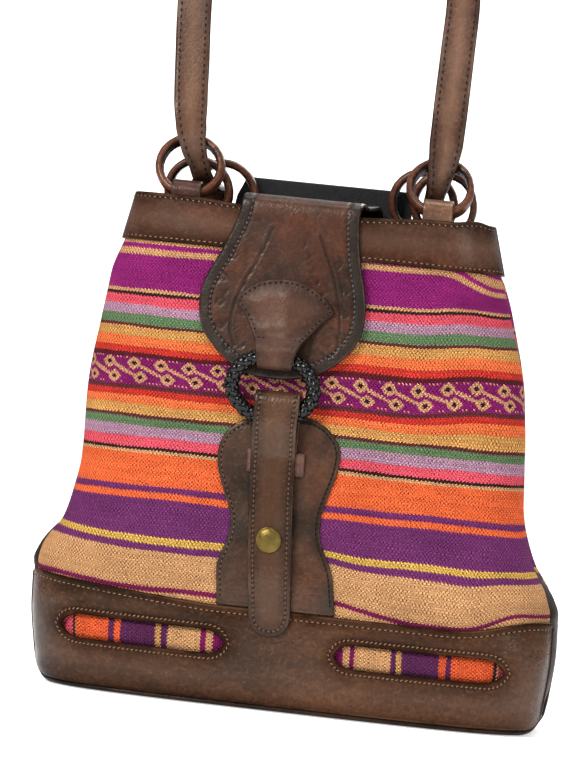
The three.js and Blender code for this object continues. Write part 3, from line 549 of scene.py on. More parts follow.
def along_path(path, fmap, h, pitch, closed=False, skip=None):
    """Stitch centres on a path of pattern points: places, directions and normals."""
    P = resample(path, pitch, closed)
    if not closed:
        P = (P[:-1] + P[1:]) / 2
    Q = np.vstack([P, P[:1]]) if closed else None
    T = (np.roll(P, -1, 0) - np.roll(P, 1, 0)) if closed else np.gradient(P, axis=0)
    T /= np.maximum(np.linalg.norm(T, axis=1)[:, None], 1e-9)
    if skip is not None:
        ok = ~skip(P)
        P, T = P[ok], T[ok]
    hh = np.full(len(P), float(h))
    c = fmap(P[:, 0], P[:, 1], hh)
    t = fmap(P[:, 0] + T[:, 0] * 0.4, P[:, 1] + T[:, 1] * 0.4, hh) - fmap(P[:, 0] - T[:, 0] * 0.4, P[:, 1] - T[:, 1] * 0.4, hh)
    s = fmap(P[:, 0] - T[:, 1] * 0.4, P[:, 1] + T[:, 0] * 0.4, hh) - fmap(P[:, 0] + T[:, 1] * 0.4, P[:, 1] - T[:, 0] * 0.4, hh)
    n = np.cross(t, s)
    out = fmap(P[:, 0], P[:, 1], hh + 0.5) - c
    n *= np.sign((n * out).sum(1))[:, None]
    return c, t, n


# ------------------------------------------------------------------ materials
def lin(r, g, b, a=1.0):
    f = lambda c: (c / 255 / 12.92) if c / 255 <= 0.04045 else ((c / 255 + 0.055) / 1.055) ** 2.4
    return (f(r), f(g), f(b), a)


class Mat:
    def __init__(self, name, rough=0.5, spec=0.5, metal=0.0, sheen=0.0, coat=0.0, coat_rough=0.2):
        self.m = bpy.data.materials.new(name)
        self.m.use_nodes = True
        self.nt = self.m.node_tree
        self.nt.nodes.clear()
        self.out = self.nt.nodes.new("ShaderNodeOutputMaterial")
        self.b = self.nt.nodes.new("ShaderNodeBsdfPrincipled")
        self.nt.links.new(self.b.outputs[0], self.out.inputs[0])
        self.b.inputs["Roughness"].default_value = rough
        self.b.inputs["Specular IOR Level"].default_value = spec
        self.b.inputs["Metallic"].default_value = metal
        self.b.inputs["Sheen Weight"].default_value = sheen
        self.b.inputs["Coat Weight"].default_value = coat
        self.b.inputs["Coat Roughness"].default_value = coat_rough

    def node(self, kind, ins=None, **props):
        n = self.nt.nodes.new(kind)
        for k, v in props.items():
            setattr(n, k, v)
        for k, v in (ins or {}).items():
            self.put(n.inputs[k], v)
        return n

    def put(self, sock, v):
        if isinstance(v, bpy.types.NodeSocket):
            self.nt.links.new(v, sock)
        elif v is not None:
            sock.default_value = v

    def math(self, op, a, b=None, c=None, clamp=False):
        n = self.node("ShaderNodeMath", operation=op, use_clamp=clamp)
        for i, v in enumerate((a, b, c)):
            if v is not None:
                self.put(n.inputs[i], v)
        return n.outputs[0]

    def uv(self):
        n = self.node("ShaderNodeUVMap", uv_map="UVMap")
        return n.outputs[0]

    def xy(self):
        s = self.node("ShaderNodeSeparateXYZ", {0: self.uv()})
        return self.math("MULTIPLY", s.outputs[0], 100.0), self.math("MULTIPLY", s.outputs[1], 100.0)

    def attr(self, name):
        return self.node("ShaderNodeAttribute", attribute_name=name, attribute_type="GEOMETRY").outputs["Fac"]

    def obj(self):
        return self.node("ShaderNodeTexCoord").outputs["Object"]

    def noise(self, vec, scale, detail=3.0, rough=0.55, dist=0.0):
        return self.node("ShaderNodeTexNoise", {"Vector": vec, "Scale": scale, "Detail": detail, "Roughness": rough, "Distortion": dist}).outputs["Fac"]

    def ramp(self, fac, stops, mode="LINEAR"):
        n = self.node("ShaderNodeValToRGB", {0: fac})
        r = n.color_ramp
        r.interpolation = mode
        while len(r.elements) > 1:
            r.elements.remove(r.elements[-1])
        r.elements[0].position = stops[0][0]
        r.elements[0].color = stops[0][1]
        for p, c in stops[1:]:
            e = r.elements.new(p)
            e.color = c
        return n.outputs[0]

    def fr(self, x, a, b, c=0.0, d=1.0):
        n = self.node("ShaderNodeMapRange", {0: x, 1: a, 2: b, 3: c, 4: d})
        n.clamp = True
        return n.outputs[0]

    def mix(self, f, a, b, blend="MIX"):
        n = self.node("ShaderNodeMix", data_type="RGBA", blend_type=blend)
        self.put(n.inputs[0], f)
        self.put(n.inputs[6], a)
        self.put(n.inputs[7], b)
        return n.outputs[2]

    def scalevec(self, vec, s):
        return self.node("ShaderNodeMapping", {"Vector": vec, "Scale": s}).outputs[0]

    def bump(self, h, strength=0.4, dist=0.0005, prev=None):
        n = self.node("ShaderNodeBump", {"Height": h, "Strength": strength, "Distance": dist})
        if prev is not None:
            self.put(n.inputs["Normal"], prev)
        return n.outputs[0]


def shade(c, k):
    return tuple(v * k for v in c[:3]) + (1,)


def leather(name, base, dark, light, rough=0.36, edge_w=2.2, edge_dark=0.55, mott=0.6, coat=0.0, grain=1.0, back=None, scale=1.0, spec=0.27, red=None, border=None, tool=False, centre=None, stretch=(1, 1, 1), lumps=1.0, back_k=1.0, soft=0.5, dull=False, tint=(1.0, 0.87, 0.76, 1)):
    """Oiled leather: soft clouds of dye, darker burnished edges, rubbed places, pores and creases, with a painted
    highlight in the middle of a piece, painted shade in a soft band along its edges and a thin painted highlight just
    inside the edge.
    """
    M = Mat(name, rough=rough, spec=spec, coat=coat, coat_rough=0.3)
    o = M.obj()
    os_ = M.scalevec(o, stretch)
    big = M.noise(os_, 11.0 * scale, 3, 0.5, 0.3)
    mid = M.noise(os_, 45.0 * scale, 5, 0.62)
    fine = M.noise(o, 420.0, 4, 0.65)
    pore = M.node("ShaderNodeTexVoronoi", {"Vector": o, "Scale": 1100.0 * grain}, feature="F1").outputs["Distance"]
    warp = M.node("ShaderNodeVectorMath", {0: M.node("ShaderNodeTexNoise", {"Vector": o, "Scale": 60.0}).outputs["Color"], 1: (0.008, 0.008, 0.008)}, operation="MULTIPLY").outputs[0]
    crease = M.node("ShaderNodeTexVoronoi", {"Vector": M.node("ShaderNodeVectorMath", {0: o, 1: warp}, operation="ADD").outputs[0], "Scale": 240.0}, feature="DISTANCE_TO_EDGE").outputs["Distance"]
    col = M.mix(M.fr(big, 0.34, 0.66), dark, base)
    if red is not None:
        col = M.mix(M.math("MULTIPLY", M.fr(M.noise(os_, 24.0 * scale, 3, 0.55), 0.42, 0.68), 0.8), col, red)
    col = M.mix(M.math("MULTIPLY", M.fr(mid, 0.46, 0.78), mott), col, light)
    col = M.mix(M.fr(mid, 0.5, 0.25, 0.0, 0.5), col, shade(dark, 0.6))
    col = M.mix(M.fr(fine, 0.46, 0.7, 0.0, 0.5), col, shade(dark, 0.45))
    col = M.mix(M.fr(fine, 0.44, 0.28, 0.0, 0.42), col, light)
    scuff = M.noise(M.scalevec(o, (1.0, 1.0, 2.2)), 150.0, 5, 0.75, 1.2)
    col = M.mix(M.fr(scuff, 0.55, 0.75, 0.0, 0.42), col, shade(dark, 0.5))
    col = M.mix(M.math("MULTIPLY", M.fr(scuff, 0.44, 0.28), 0.3), col, light)
    ed = M.attr("edge")
    # painted highlight: the middle of a piece, away from its edges, is lightened (centre gives the edge distances and
    # the strength)
    if centre is not None:
        col = M.mix(M.math("MULTIPLY", M.fr(ed, centre[0], centre[1]), M.fr(mid, 0.3, 0.6, 0.3, centre[2])), col, light)
    # painted shade, partly deeper dye: a soft band up to 7.5 mm in from the edges is darkened, as where the piece
    # rounds away from the light (strength soft)
    col = M.mix(M.math("MULTIPLY", M.fr(ed, 0.5, 7.5, soft, 0.0), M.fr(mid, 0.35, 0.65, 0.55, 1.0)), col, shade(dark, 0.6))
    if border is not None:
        bw = M.math("ADD", ed, M.math("MULTIPLY", M.math("SUBTRACT", mid, 0.5), 1.5))
        col = M.mix(M.fr(bw, border[0] - 0.7, border[0] + 1.0, 0.9, 0.0), col, M.mix(M.fr(fine, 0.4, 0.65), border[1], shade(border[1], 0.55)))
    near = M.fr(M.math("ADD", ed, M.math("MULTIPLY", mid, 1.4)), 0.6, edge_w + 0.7, 1.0, 0.0)
    col = M.mix(M.math("MULTIPLY", near, edge_dark), col, shade(dark, 0.14))
    # a thin light line just inside the edge: partly rubbed wear, partly a painted highlight along the rounded edge
    rub_and_highlight = M.math("MULTIPLY", M.fr(ed, 0.25, 0.7, 0.0, 1.0), M.fr(ed, 0.9, 1.9, 1.0, 0.0))
    col = M.mix(M.math("MULTIPLY", M.math("MULTIPLY", rub_and_highlight, M.fr(mid, 0.5, 0.62)), 0.45), col, light)
    if tool:
        tl_ = M.attr("tool")
        col = M.mix(M.math("MULTIPLY", tl_, 0.85), col, shade(dark, 0.1))
    # underside colour where the back attribute is set; on the carry rings that is the inner face, where the colour is
    # painted shade
    if back is not None:
        col = M.mix(M.math("MULTIPLY", M.attr("back"), back_k), col, back)
    M.put(M.b.inputs["Base Color"], col)
    M.b.inputs["Specular Tint"].default_value = tint
    if dull:
        M.put(M.b.inputs["Specular IOR Level"], M.fr(ed, 1.5, 14.0, 0.02, spec))
    M.put(M.b.inputs["Roughness"], M.math("ADD", M.fr(M.noise(os_, 34.0, 4, 0.6), 0.3, 0.72, rough - 0.1, rough + 0.1), M.math("MULTIPLY", fine, 0.08)))
    n = M.bump(M.math("MULTIPLY", M.fr(crease, 0.0, 0.2), M.fr(mid, 0.3, 0.7)), 0.3, 0.0003)
    n = M.bump(pore, 0.25, 0.0002, n)
    n = M.bump(M.noise(o, 130.0, 4, 0.6), 0.25 * lumps, 0.0006, n)
    n = M.bump(M.noise(os_, 30.0, 3, 0.5), 0.22 * lumps, 0.002, n)
    M.put(M.b.inputs["Normal"], n)
    return M.m


def thread(name, rgb, rough=0.6):
    M = Mat(name, rough=rough, spec=0.2, sheen=0.03)
    o = M.obj()
    w = M.node("ShaderNodeTexWave", {"Vector": o, "Scale": 900.0, "Distortion": 2.0}, bands_direction="DIAGONAL").outputs["Fac"]
    nn = M.noise(o, 500.0, 2)
    col = M.mix(M.fr(nn, 0.3, 0.7), tuple(c * 0.62 for c in rgb[:3]) + (1,), rgb)
    M.put(M.b.inputs["Base Color"], col)
    M.put(M.b.inputs["Normal"], M.bump(w, 0.4, 0.0002))
    return M.m


# in these calls centre paints a highlight in the middle of a piece, and soft sets the painted shade along its edges
BROWN = leather("brown_leather", lin(66, 42, 31), lin(37, 24, 17), lin(98, 70, 55), 0.27, dull=True, centre=(4.0, 12.0, 0.16), back=lin(80, 56, 40), stretch=(0.6, 1, 1.2), mott=0.7, red=lin(84, 44, 28))
BASE = leather("base_leather", lin(76, 47, 31), lin(40, 25, 17), lin(108, 74, 52), 0.24, spec=0.32, dull=True, edge_w=2.6, mott=0.4, back=lin(66, 48, 36), stretch=(0.4, 1, 1.5))
FLAPM = leather("tooled_leather", lin(51, 29, 20), lin(26, 16, 12), lin(84, 55, 41), 0.29, soft=0.25, spec=0.3, edge_w=2.0, edge_dark=0.5, mott=0.55, back=lin(44, 32, 26), red=lin(84, 42, 24), border=(6.6, lin(32, 26, 23)), tool=True, lumps=0.7)
PATCHM = leather("patch_leather", lin(62, 39, 27), lin(36, 23, 16), lin(92, 62, 42), 0.27, spec=0.4, soft=0.3, edge_w=3.0, edge_dark=0.6, mott=0.6, red=lin(78, 42, 26))
STRAPM = leather("strap_leather", lin(78, 49, 36), lin(44, 28, 20), lin(126, 94, 76), 0.3, edge_w=1.7, edge_dark=0.8, mott=0.75, back=lin(80, 58, 44), back_k=0.25, centre=(3.4, 10.0, 0.42), stretch=(1, 1, 0.4), lumps=0.6)
TONGUE = leather("tongue_leather", lin(66, 40, 26), lin(34, 22, 15), lin(100, 68, 48), 0.25, spec=0.34, edge_w=1.8, edge_dark=0.9, mott=0.45, soft=0.3, centre=(4.0, 9.0, 0.3), stretch=(1, 1, 0.5), lumps=0.6)
TABM = leather("tab_leather", lin(72, 42, 31), lin(44, 27, 21), lin(100, 69, 54), 0.4, spec=0.24, edge_w=1.6, edge_dark=0.7, mott=0.5, lumps=0.12, centre=(4.0, 11.0, 0.2))
LOOPM = leather("loop_leather", lin(62, 36, 30), lin(38, 22, 20), lin(96, 62, 50), 0.28, edge_w=1.2, edge_dark=0.6, mott=0.4, lumps=0.5)
KEEPM = leather("keeper_leather", lin(104, 66, 56), lin(72, 44, 38), lin(140, 100, 86), 0.28, soft=0.0, lumps=0.2, spec=0.4)
LOOPM2 = leather("light_loop_leather", lin(122, 88, 68), lin(86, 58, 44), lin(160, 126, 102), 0.26, soft=0.2, spec=0.4, edge_w=1.2, edge_dark=0.6, mott=0.4, lumps=0.5)
# inner faces of the carry rings take the near-black back colour: painted shade inside each ring
RINGM = leather("ring_leather", lin(92, 48, 30), lin(50, 27, 19), lin(138, 84, 56), 0.27, edge_w=0.4, edge_dark=0.0, mott=0.6, back=lin(24, 17, 20), lumps=0.5)
DARKM = leather("side_leather", lin(42, 29, 23), lin(26, 18, 15), lin(60, 43, 34), 0.5, edge_w=2.0, edge_dark=0.4, spec=0.08)
PIPEM = leather("piping_leather", lin(40, 28, 22), lin(24, 18, 15), lin(62, 45, 36), 0.36, edge_w=0.3, edge_dark=0.0, spec=0.12, soft=0.0)
BRAIDM = leather("braid_leather", lin(7, 7, 8), lin(4, 4, 5), lin(13, 12, 13), 0.14, edge_w=0.3, edge_dark=0.0, spec=0.34, mott=0.2, lumps=0.2, soft=0.0, tint=(1, 1, 1, 1))
T_TAN = thread("tan_thread", lin(146, 110, 76))
T_MID = thread("rust_thread", lin(118, 80, 56))
T_ORANGE = thread("orange_thread", lin(148, 106, 76))
T_BROWN = thread("brown_thread", lin(86, 52, 38))
T_BLACK = thread("black_thread", lin(17, 14, 13))
T_GREY = thread("grey_thread", lin(94, 85, 76))
# near-black needle holes: painted shade inside the holes
HOLE = thread("needle_hole_shade", lin(14, 10, 9), 0.9)

TAN, MAG, MAGW, CORAL, LILAC, GREEN = lin(214, 160, 110), lin(150, 34, 112), lin(146, 36, 112), lin(236, 88, 104), lin(184, 140, 163), lin(98, 128, 88)
MAROON, GOLD, ORANGE, RED, DMAR = lin(98, 46, 50), lin(218, 158, 88), lin(244, 118, 66), lin(206, 56, 44), lin(88, 30, 36)
PURPLE, MUSTARD, BLK, ORANGE2 = lin(116, 52, 106), lin(222, 176, 84), lin(46, 34, 34), lin(250, 110, 60)
STRIPES = [(280, MAG), (272.1, TAN), (267.3, MAG), (264.3, TAN), (260.7, MAGW), (239.8, TAN), (238.1, BLK), (236.3, CORAL), (230.9, LILAC), (224.4, GREEN), (219.0, MAROON), (216.9, GOLD),
           (211.3, ORANGE), (206.0, RED), (201.8, DMAR), (199.4, MAG), (182.9, MAROON), (180.5, RED), (176.9, ORANGE), (172.2, GOLD), (166.3, MAROON), (163.9, GREEN), (159.2, LILAC), (152.7, CORAL),
           (147.4, BLK), (145.6, TAN), (143.9, ORANGE2), (125.0, PURPLE), (120.9, ORANGE2), (117.4, PURPLE), (98.2, MUSTARD), (95.0, PURPLE), (91.4, TAN), (70.3, lin(128, 34, 80)), (67.9, TAN)]


def weave(name, stops, lo, hi, along_is_x=True, motif=False, across=None):
    """Warp-faced cloth. The stripes' place is v in mm, with toothed boundaries; the threads run along u."""
    M = Mat(name, rough=0.95, spec=0.06, sheen=0.0)
    x, z = M.xy()
    if not along_is_x:
        x, z = z, x
    P, Q = 2.25, 1.2           # length of a float along the stripe, and pitch of the threads across it
    vec = M.node("ShaderNodeCombineXYZ", {0: x, 1: z}).outputs[0]
    drift = M.math("MULTIPLY", M.noise(M.scalevec(vec, (0.05, 0.12, 1)), 1.0, 3), 2.6)
    xw = M.math("ADD", x, drift)
    scal = M.math("MULTIPLY", M.math("COSINE", M.math("MULTIPLY", xw, 2 * pi / P)), M.fr(M.noise(vec, 0.25, 1), 0.3, 0.7, 0.1, 0.36))
    slow = M.math("MULTIPLY", M.math("SUBTRACT", M.noise(M.scalevec(vec, (0.02, 0.06, 1)), 1.0, 3), 0.5), 3.4)
    zw = M.math("ADD", z, scal)
    zr = M.math("DIVIDE", M.math("ADD", zw, slow), Q)
    row = M.math("FLOOR", zr)
    fz = M.math("ABSOLUTE", M.math("SUBTRACT", M.math("MULTIPLY", M.math("FRACT", zr), 2.0), 1.0))
    off = M.math("MULTIPLY", M.math("MODULO", M.math("ADD", row, 2000.0), 2.0), 0.5)
    xs = M.math("ADD", M.math("ADD", M.math("DIVIDE", xw, P), off), M.math("MULTIPLY", M.noise(vec, 0.5, 1), 0.5))
    cell = M.math("FLOOR", xs)
    fx = M.math("ABSOLUTE", M.math("SUBTRACT", M.math("MULTIPLY", M.math("FRACT", xs), 2.0), 1.0))
    wn = M.node("ShaderNodeTexWhiteNoise", {"Vector": M.node("ShaderNodeCombineXYZ", {0: cell, 1: row}).outputs[0]}, noise_dimensions="2D").outputs["Value"]
    wr = M.node("ShaderNodeTexWhiteNoise", {"Vector": M.node("ShaderNodeCombineXYZ", {0: row, 1: 7.0}).outputs[0]}, noise_dimensions="2D").outputs["Value"]
    rib = M.math("SUBTRACT", 1.0, M.math("POWER", fx, 2.6))
    thr = M.math("SUBTRACT", 1.0, M.math("POWER", fz, 2.2))
    jit = M.math("MULTIPLY", M.math("SUBTRACT", M.noise(vec, 0.8, 2), 0.5), 1.0)
    zz = M.math("ADD", M.math("ADD", zw, M.math("MULTIPLY", scal, 0.5)), M.math("ADD", slow, jit))
    t = M.math("DIVIDE", M.math("SUBTRACT", hi, zz), hi - lo)
    S = [(max(0.0, min(1.0, (hi - s) / (hi - lo))), c) for s, c in stops]
    half = 30
    col = M.ramp(t, S[:half], "CONSTANT")
    if len(S) > half:
        col2 = M.ramp(t, [(0.0, S[half][1])] + S[half:], "CONSTANT")
        col = M.mix(M.math("GREATER_THAN", t, S[half][0]), col, col2)
    if motif:
        # band of small lozenge rings, each upper one joined by a long slanting bar to the lower one of the next pair
        zb = M.math("ADD", zw, slow)
        X = M.math("SUBTRACT", M.math("MODULO", M.math("ADD", x, 1714.0), 17.1), 8.55)
        Z = M.math("SUBTRACT", zb, 191.15)
        qx = M.math("MULTIPLY", M.math("ROUND", M.math("DIVIDE", X, 0.75)), 0.75)
        qz = M.math("MULTIPLY", M.math("ROUND", M.math("DIVIDE", Z, 0.8)), 0.8)
        tot, heart = None, None
        for cx, cz in ((-2.35, 4.0), (2.35, -4.0), (-2.35 + 17.1, 4.0), (2.35 - 17.1, -4.0)):
            ax_ = M.math("DIVIDE", M.math("ABSOLUTE", M.math("SUBTRACT", qx, cx)), 4.5)
            az_ = M.math("DIVIDE", M.math("ABSOLUTE", M.math("SUBTRACT", qz, cz)), 3.5)
            d = M.math("POWER", M.math("ADD", M.math("POWER", ax_, 1.45), M.math("POWER", az_, 1.45)), 0.69)
            ring = M.math("MULTIPLY", M.math("LESS_THAN", d, 0.98), M.math("GREATER_THAN", d, 0.36))
            hole = M.math("LESS_THAN", d, 0.36)
            tot = ring if tot is None else M.math("MAXIMUM", tot, ring)
            heart = hole if heart is None else M.math("MAXIMUM", heart, hole)
        for shift, lo_, hi_ in ((2.35, 0.6, 9.0), (19.45, -9.0, -0.6)):
            ln = M.math("ABSOLUTE", M.math("ADD", M.math("SUBTRACT", qz, 4.0), M.math("MULTIPLY", M.math("ADD", qx, shift), 0.367)))
            bar = M.math("MULTIPLY", M.math("LESS_THAN", ln, 0.95), M.math("MULTIPLY", M.math("GREATER_THAN", qx, lo_), M.math("LESS_THAN", qx, hi_)))
            tot = M.math("MAXIMUM", tot, bar)
        dots = M.math("MULTIPLY", M.math("LESS_THAN", M.math("ABSOLUTE", M.math("SUBTRACT", M.math("ABSOLUTE", Z), 7.1)), 0.45), M.math("GREATER_THAN", M.math("SINE", M.math("MULTIPLY", x, 2 * pi / 2.25)), 0.25))
        dots = M.math("MULTIPLY", dots, M.math("GREATER_THAN", M.math("ABSOLUTE", M.math("ADD", X, M.math("MULTIPLY", M.math("SIGN", Z), 2.35))), 4.2))
        dots = M.math("MULTIPLY", dots, M.math("GREATER_THAN", wn, 0.3))
        tot = M.math("MAXIMUM", tot, dots)
        near_ = M.math("LESS_THAN", M.math("ABSOLUTE", Z), 8.0)
        tot = M.math("MULTIPLY", tot, near_)
        col = M.mix(M.math("MULTIPLY", M.math("MULTIPLY", near_, M.noise(vec, 0.35, 2)), 0.7), col, lin(92, 20, 66))
        col = M.mix(M.math("MULTIPLY", heart, near_), col, lin(56, 16, 44))
        col = M.mix(M.math("MULTIPLY", tot, 0.92), col, lin(214, 160, 112))
    # dark flecks where the weft shows between two floats, floats of uneven shade, long streaks of dye
    fleck = M.math("MULTIPLY", M.fr(fx, 0.42, 0.74), M.fr(thr, 0.05, 0.45))
    dark_ = M.math("MULTIPLY", fleck, M.fr(wn, 0.25, 0.7, 0.12, 1.0))
    col = M.mix(dark_, col, M.mix(0.82, col, lin(46, 12, 18)))
    streak = M.noise(M.scalevec(vec, (0.05, 1.4, 1)), 1.0, 3)
    col = M.mix(M.fr(streak, 0.4, 0.72, 0.0, 0.3), col, M.mix(0.5, col, (0.02, 0.01, 0.015, 1)))
    tufts = M.noise(vec, 1.9, 3, 0.7)
    cloud = M.noise(M.scalevec(vec, (0.035, 0.05, 1)), 1.0, 3)
    val = M.math("MULTIPLY", M.math("MULTIPLY", M.fr(tufts, 0.3, 0.7, 0.78, 1.3), M.fr(cloud, 0.3, 0.7, 0.88, 1.14)), M.math("ADD", M.fr(wn, 0.0, 1.0, 0.74, 1.26), M.fr(wr, 0.0, 1.0, -0.08, 0.08)))
    hsv = M.node("ShaderNodeHueSaturation", {"Value": val, "Color": col}).outputs[0]
    # painted shade: darker in the grooves between neighbouring threads
    hsv = M.mix(M.fr(fz, 0.55, 0.98, 0.0, 0.55), hsv, M.mix(0.6, hsv, (0.012, 0.004, 0.008, 1)))
    M.put(M.b.inputs["Base Color"], hsv)
    n = M.bump(M.math("MULTIPLY", M.math("MULTIPLY", rib, thr), M.fr(wn, 0.0, 1.0, 0.7, 1.0)), 1.0, 0.0009)
    n = M.bump(tufts, 0.5, 0.0004, n)
    n = M.bump(M.noise(vec, 0.12, 3), 0.4, 0.004, n)
    M.put(M.b.inputs["Normal"], n)
    return M.m


CLOTHM = weave("striped_cloth", STRIPES, 40.0, 282.0, motif=True)
LB, LTAN = BLK, TAN
WIN_L = [(-28, MAG), (-34.1, MAG), (-39.9, TAN), (-44.0, MAG), (-47.6, TAN), (-67.4, PURPLE), (-71.0, MUSTARD), (-74.6, PURPLE), (-95.9, ORANGE2), (-99.6, PURPLE), (-103.3, ORANGE2), (-125.3, LTAN), (-126.0, LB), (-126.9, CORAL), (-140, CORAL)]
WIN_R = [(140, RED), (132.0, CORAL), (128.2, LB), (125.3, ORANGE2), (101.2, PURPLE), (98.3, ORANGE2), (94.2, PURPLE), (72.1, MUSTARD), (68.6, PURPLE), (65.1, TAN), (43.9, MAG), (41.0, TAN), (36.9, MAG), (20, MAG)]


def win_stops(rows):
    # colour below each boundary, from the high end to the low end
    rows = sorted(rows, key=lambda r: -r[0])
    return rows


PURPW, MAGWIN, ORW = lin(94, 44, 84), lin(130, 30, 90), lin(236, 98, 54)
WINL = weave("left_window_weave", [(-20, MAGWIN), (-34.1, MAGWIN), (-39.9, TAN), (-44.0, MAGWIN), (-47.6, TAN), (-67.4, PURPW), (-71.0, lin(214, 160, 96)), (-74.6, PURPW), (-95.9, ORW), (-99.6, PURPW), (-103.3, ORW), (-123.6, lin(150, 140, 70)), (-124.4, LB), (-125.6, CORAL)], -142.0, -18.0, along_is_x=False)
WINR = weave("right_window_weave", [(142, RED), (132.0, CORAL), (128.2, TAN), (127.0, LB), (125.3, ORW), (101.2, PURPW), (98.3, ORW), (94.2, PURPW), (72.1, lin(214, 160, 96)), (68.6, PURPW), (65.1, TAN), (43.9, MAGWIN), (41.0, TAN), (36.9, MAGWIN)], 18.0, 142.0, along_is_x=False)


def fabric(name, rgb, pitch=0.8, rough=0.9, twill=False):
    M = Mat(name, rough=rough, spec=0.15, sheen=0.2)
    x, z = M.xy()
    a = M.math("ABSOLUTE", M.math("SINE", M.math("MULTIPLY", M.math("ADD", x, M.math("MULTIPLY", z, 0.5 if twill else 0.0)), pi / pitch)))
    b = M.math("ABSOLUTE", M.math("SINE", M.math("MULTIPLY", z, pi / (pitch * 0.8))))
    vec = M.node("ShaderNodeCombineXYZ", {0: x, 1: z}).outputs[0]
    nn = M.noise(vec, 0.25, 3)
    col = M.mix(M.fr(nn, 0.3, 0.7), tuple(c * 0.65 for c in rgb[:3]) + (1,), rgb)
    # painted shade: darker in the gaps between the crossing threads
    col = M.mix(M.fr(M.math("MULTIPLY", a, b), 0.0, 0.5, 0.5, 0.0), col, (0.003, 0.003, 0.003, 1))
    M.put(M.b.inputs["Base Color"], col)
    M.put(M.b.inputs["Normal"], M.bump(M.math("MULTIPLY", a, b), 0.8, 0.0007))
    return M.m


WEBM = fabric("black_webbing", lin(44, 43, 46), 1.1, 0.8)
LININGM = fabric("lining_cloth", lin(58, 50, 48), 0.5)


def brass(name):
    M = Mat(name, rough=0.36, metal=1.0)
    o = M.obj()
    nn = M.noise(o, 120.0, 4, 0.6)
    col = M.mix(M.fr(nn, 0.3, 0.7), lin(82, 67, 33), lin(126, 107, 58))
    M.put(M.b.inputs["Base Color"], col)
    M.put(M.b.inputs["Roughness"], M.fr(M.noise(o, 300.0, 3), 0.3, 0.7, 0.28, 0.5))
    M.put(M.b.inputs["Normal"], M.bump(M.noise(o, 500.0, 3), 0.12, 0.0003))
    return M.m


BRASSM = brass("aged_brass")
BOARDM = fabric("base_board_fibre", lin(92, 80, 66), 0.9)

# ------------------------------------------------------------------ cloth faces
OUT = 1.0


def cloth_bulge(s, z, side):
    """How far the cloth stands out or in, mm: pillowed between the leather bands, with puckers at them, flat under the front leather."""
    a = np.abs(s)
    free = smooth((z - 66) / 26) * smooth((271 - z) / 22)
    if side < 0:
        cover = 1 - smooth((a - 40) / 26) * 1.0
        free = free * (1 - cover * 0.92)
    b = 2.1 * free
    puck = smooth((92 - z) / 26) + smooth((z - 247) / 18)
    b = b + puck * (0.55 * np.sin(s / 5.2 + 1.3 * np.sin(s / 17)) + 0.35 * np.sin(s / 2.9 + 2)) * smooth((a - 34) / 20) * smooth((z - 70) / 5) * smooth((268 - z) / 4)
    b = b + 1.5 * free * wave(s * 0.045, z * 0.05, 3 + side) + 0.5 * free * wave(s * 0.15, z * 0.12, 8 + side)
    # slack creases: long shallow folds running down and outwards
    for s0, z0, an, ln, w, h in ((92, 126, -0.55, 34, 3.4, -1.1), (70, 144, -0.3, 26, 4.0, 0.9), (-98, 118, 0.5, 30, 3.8, -0.9), (-104, 238, 1.1, 26, 3.6, -0.9), (104, 246, -0.9, 24, 3.4, -1.3), (88, 258, -0.35, 22, 3.0, 1.0), (-62, 96, 0.25, 26, 4.2, 0.8), (60, 84, -0.2, 30, 4.5, -0.7), (-110, 180, 1.35, 30, 4, 0.7), (112, 186, -1.35, 34, 4, -0.8)):
        u = (s - s0) * math.cos(an) + (z - z0) * math.sin(an)
        v = -(s - s0) * math.sin(an) + (z - z0) * math.cos(an)
        b = b + h * np.exp(-(u / ln) ** 2 - ((v + 0.006 * u * u) / w) ** 2) * smooth((z - 68) / 10) * smooth((270 - z) / 6)
    return b


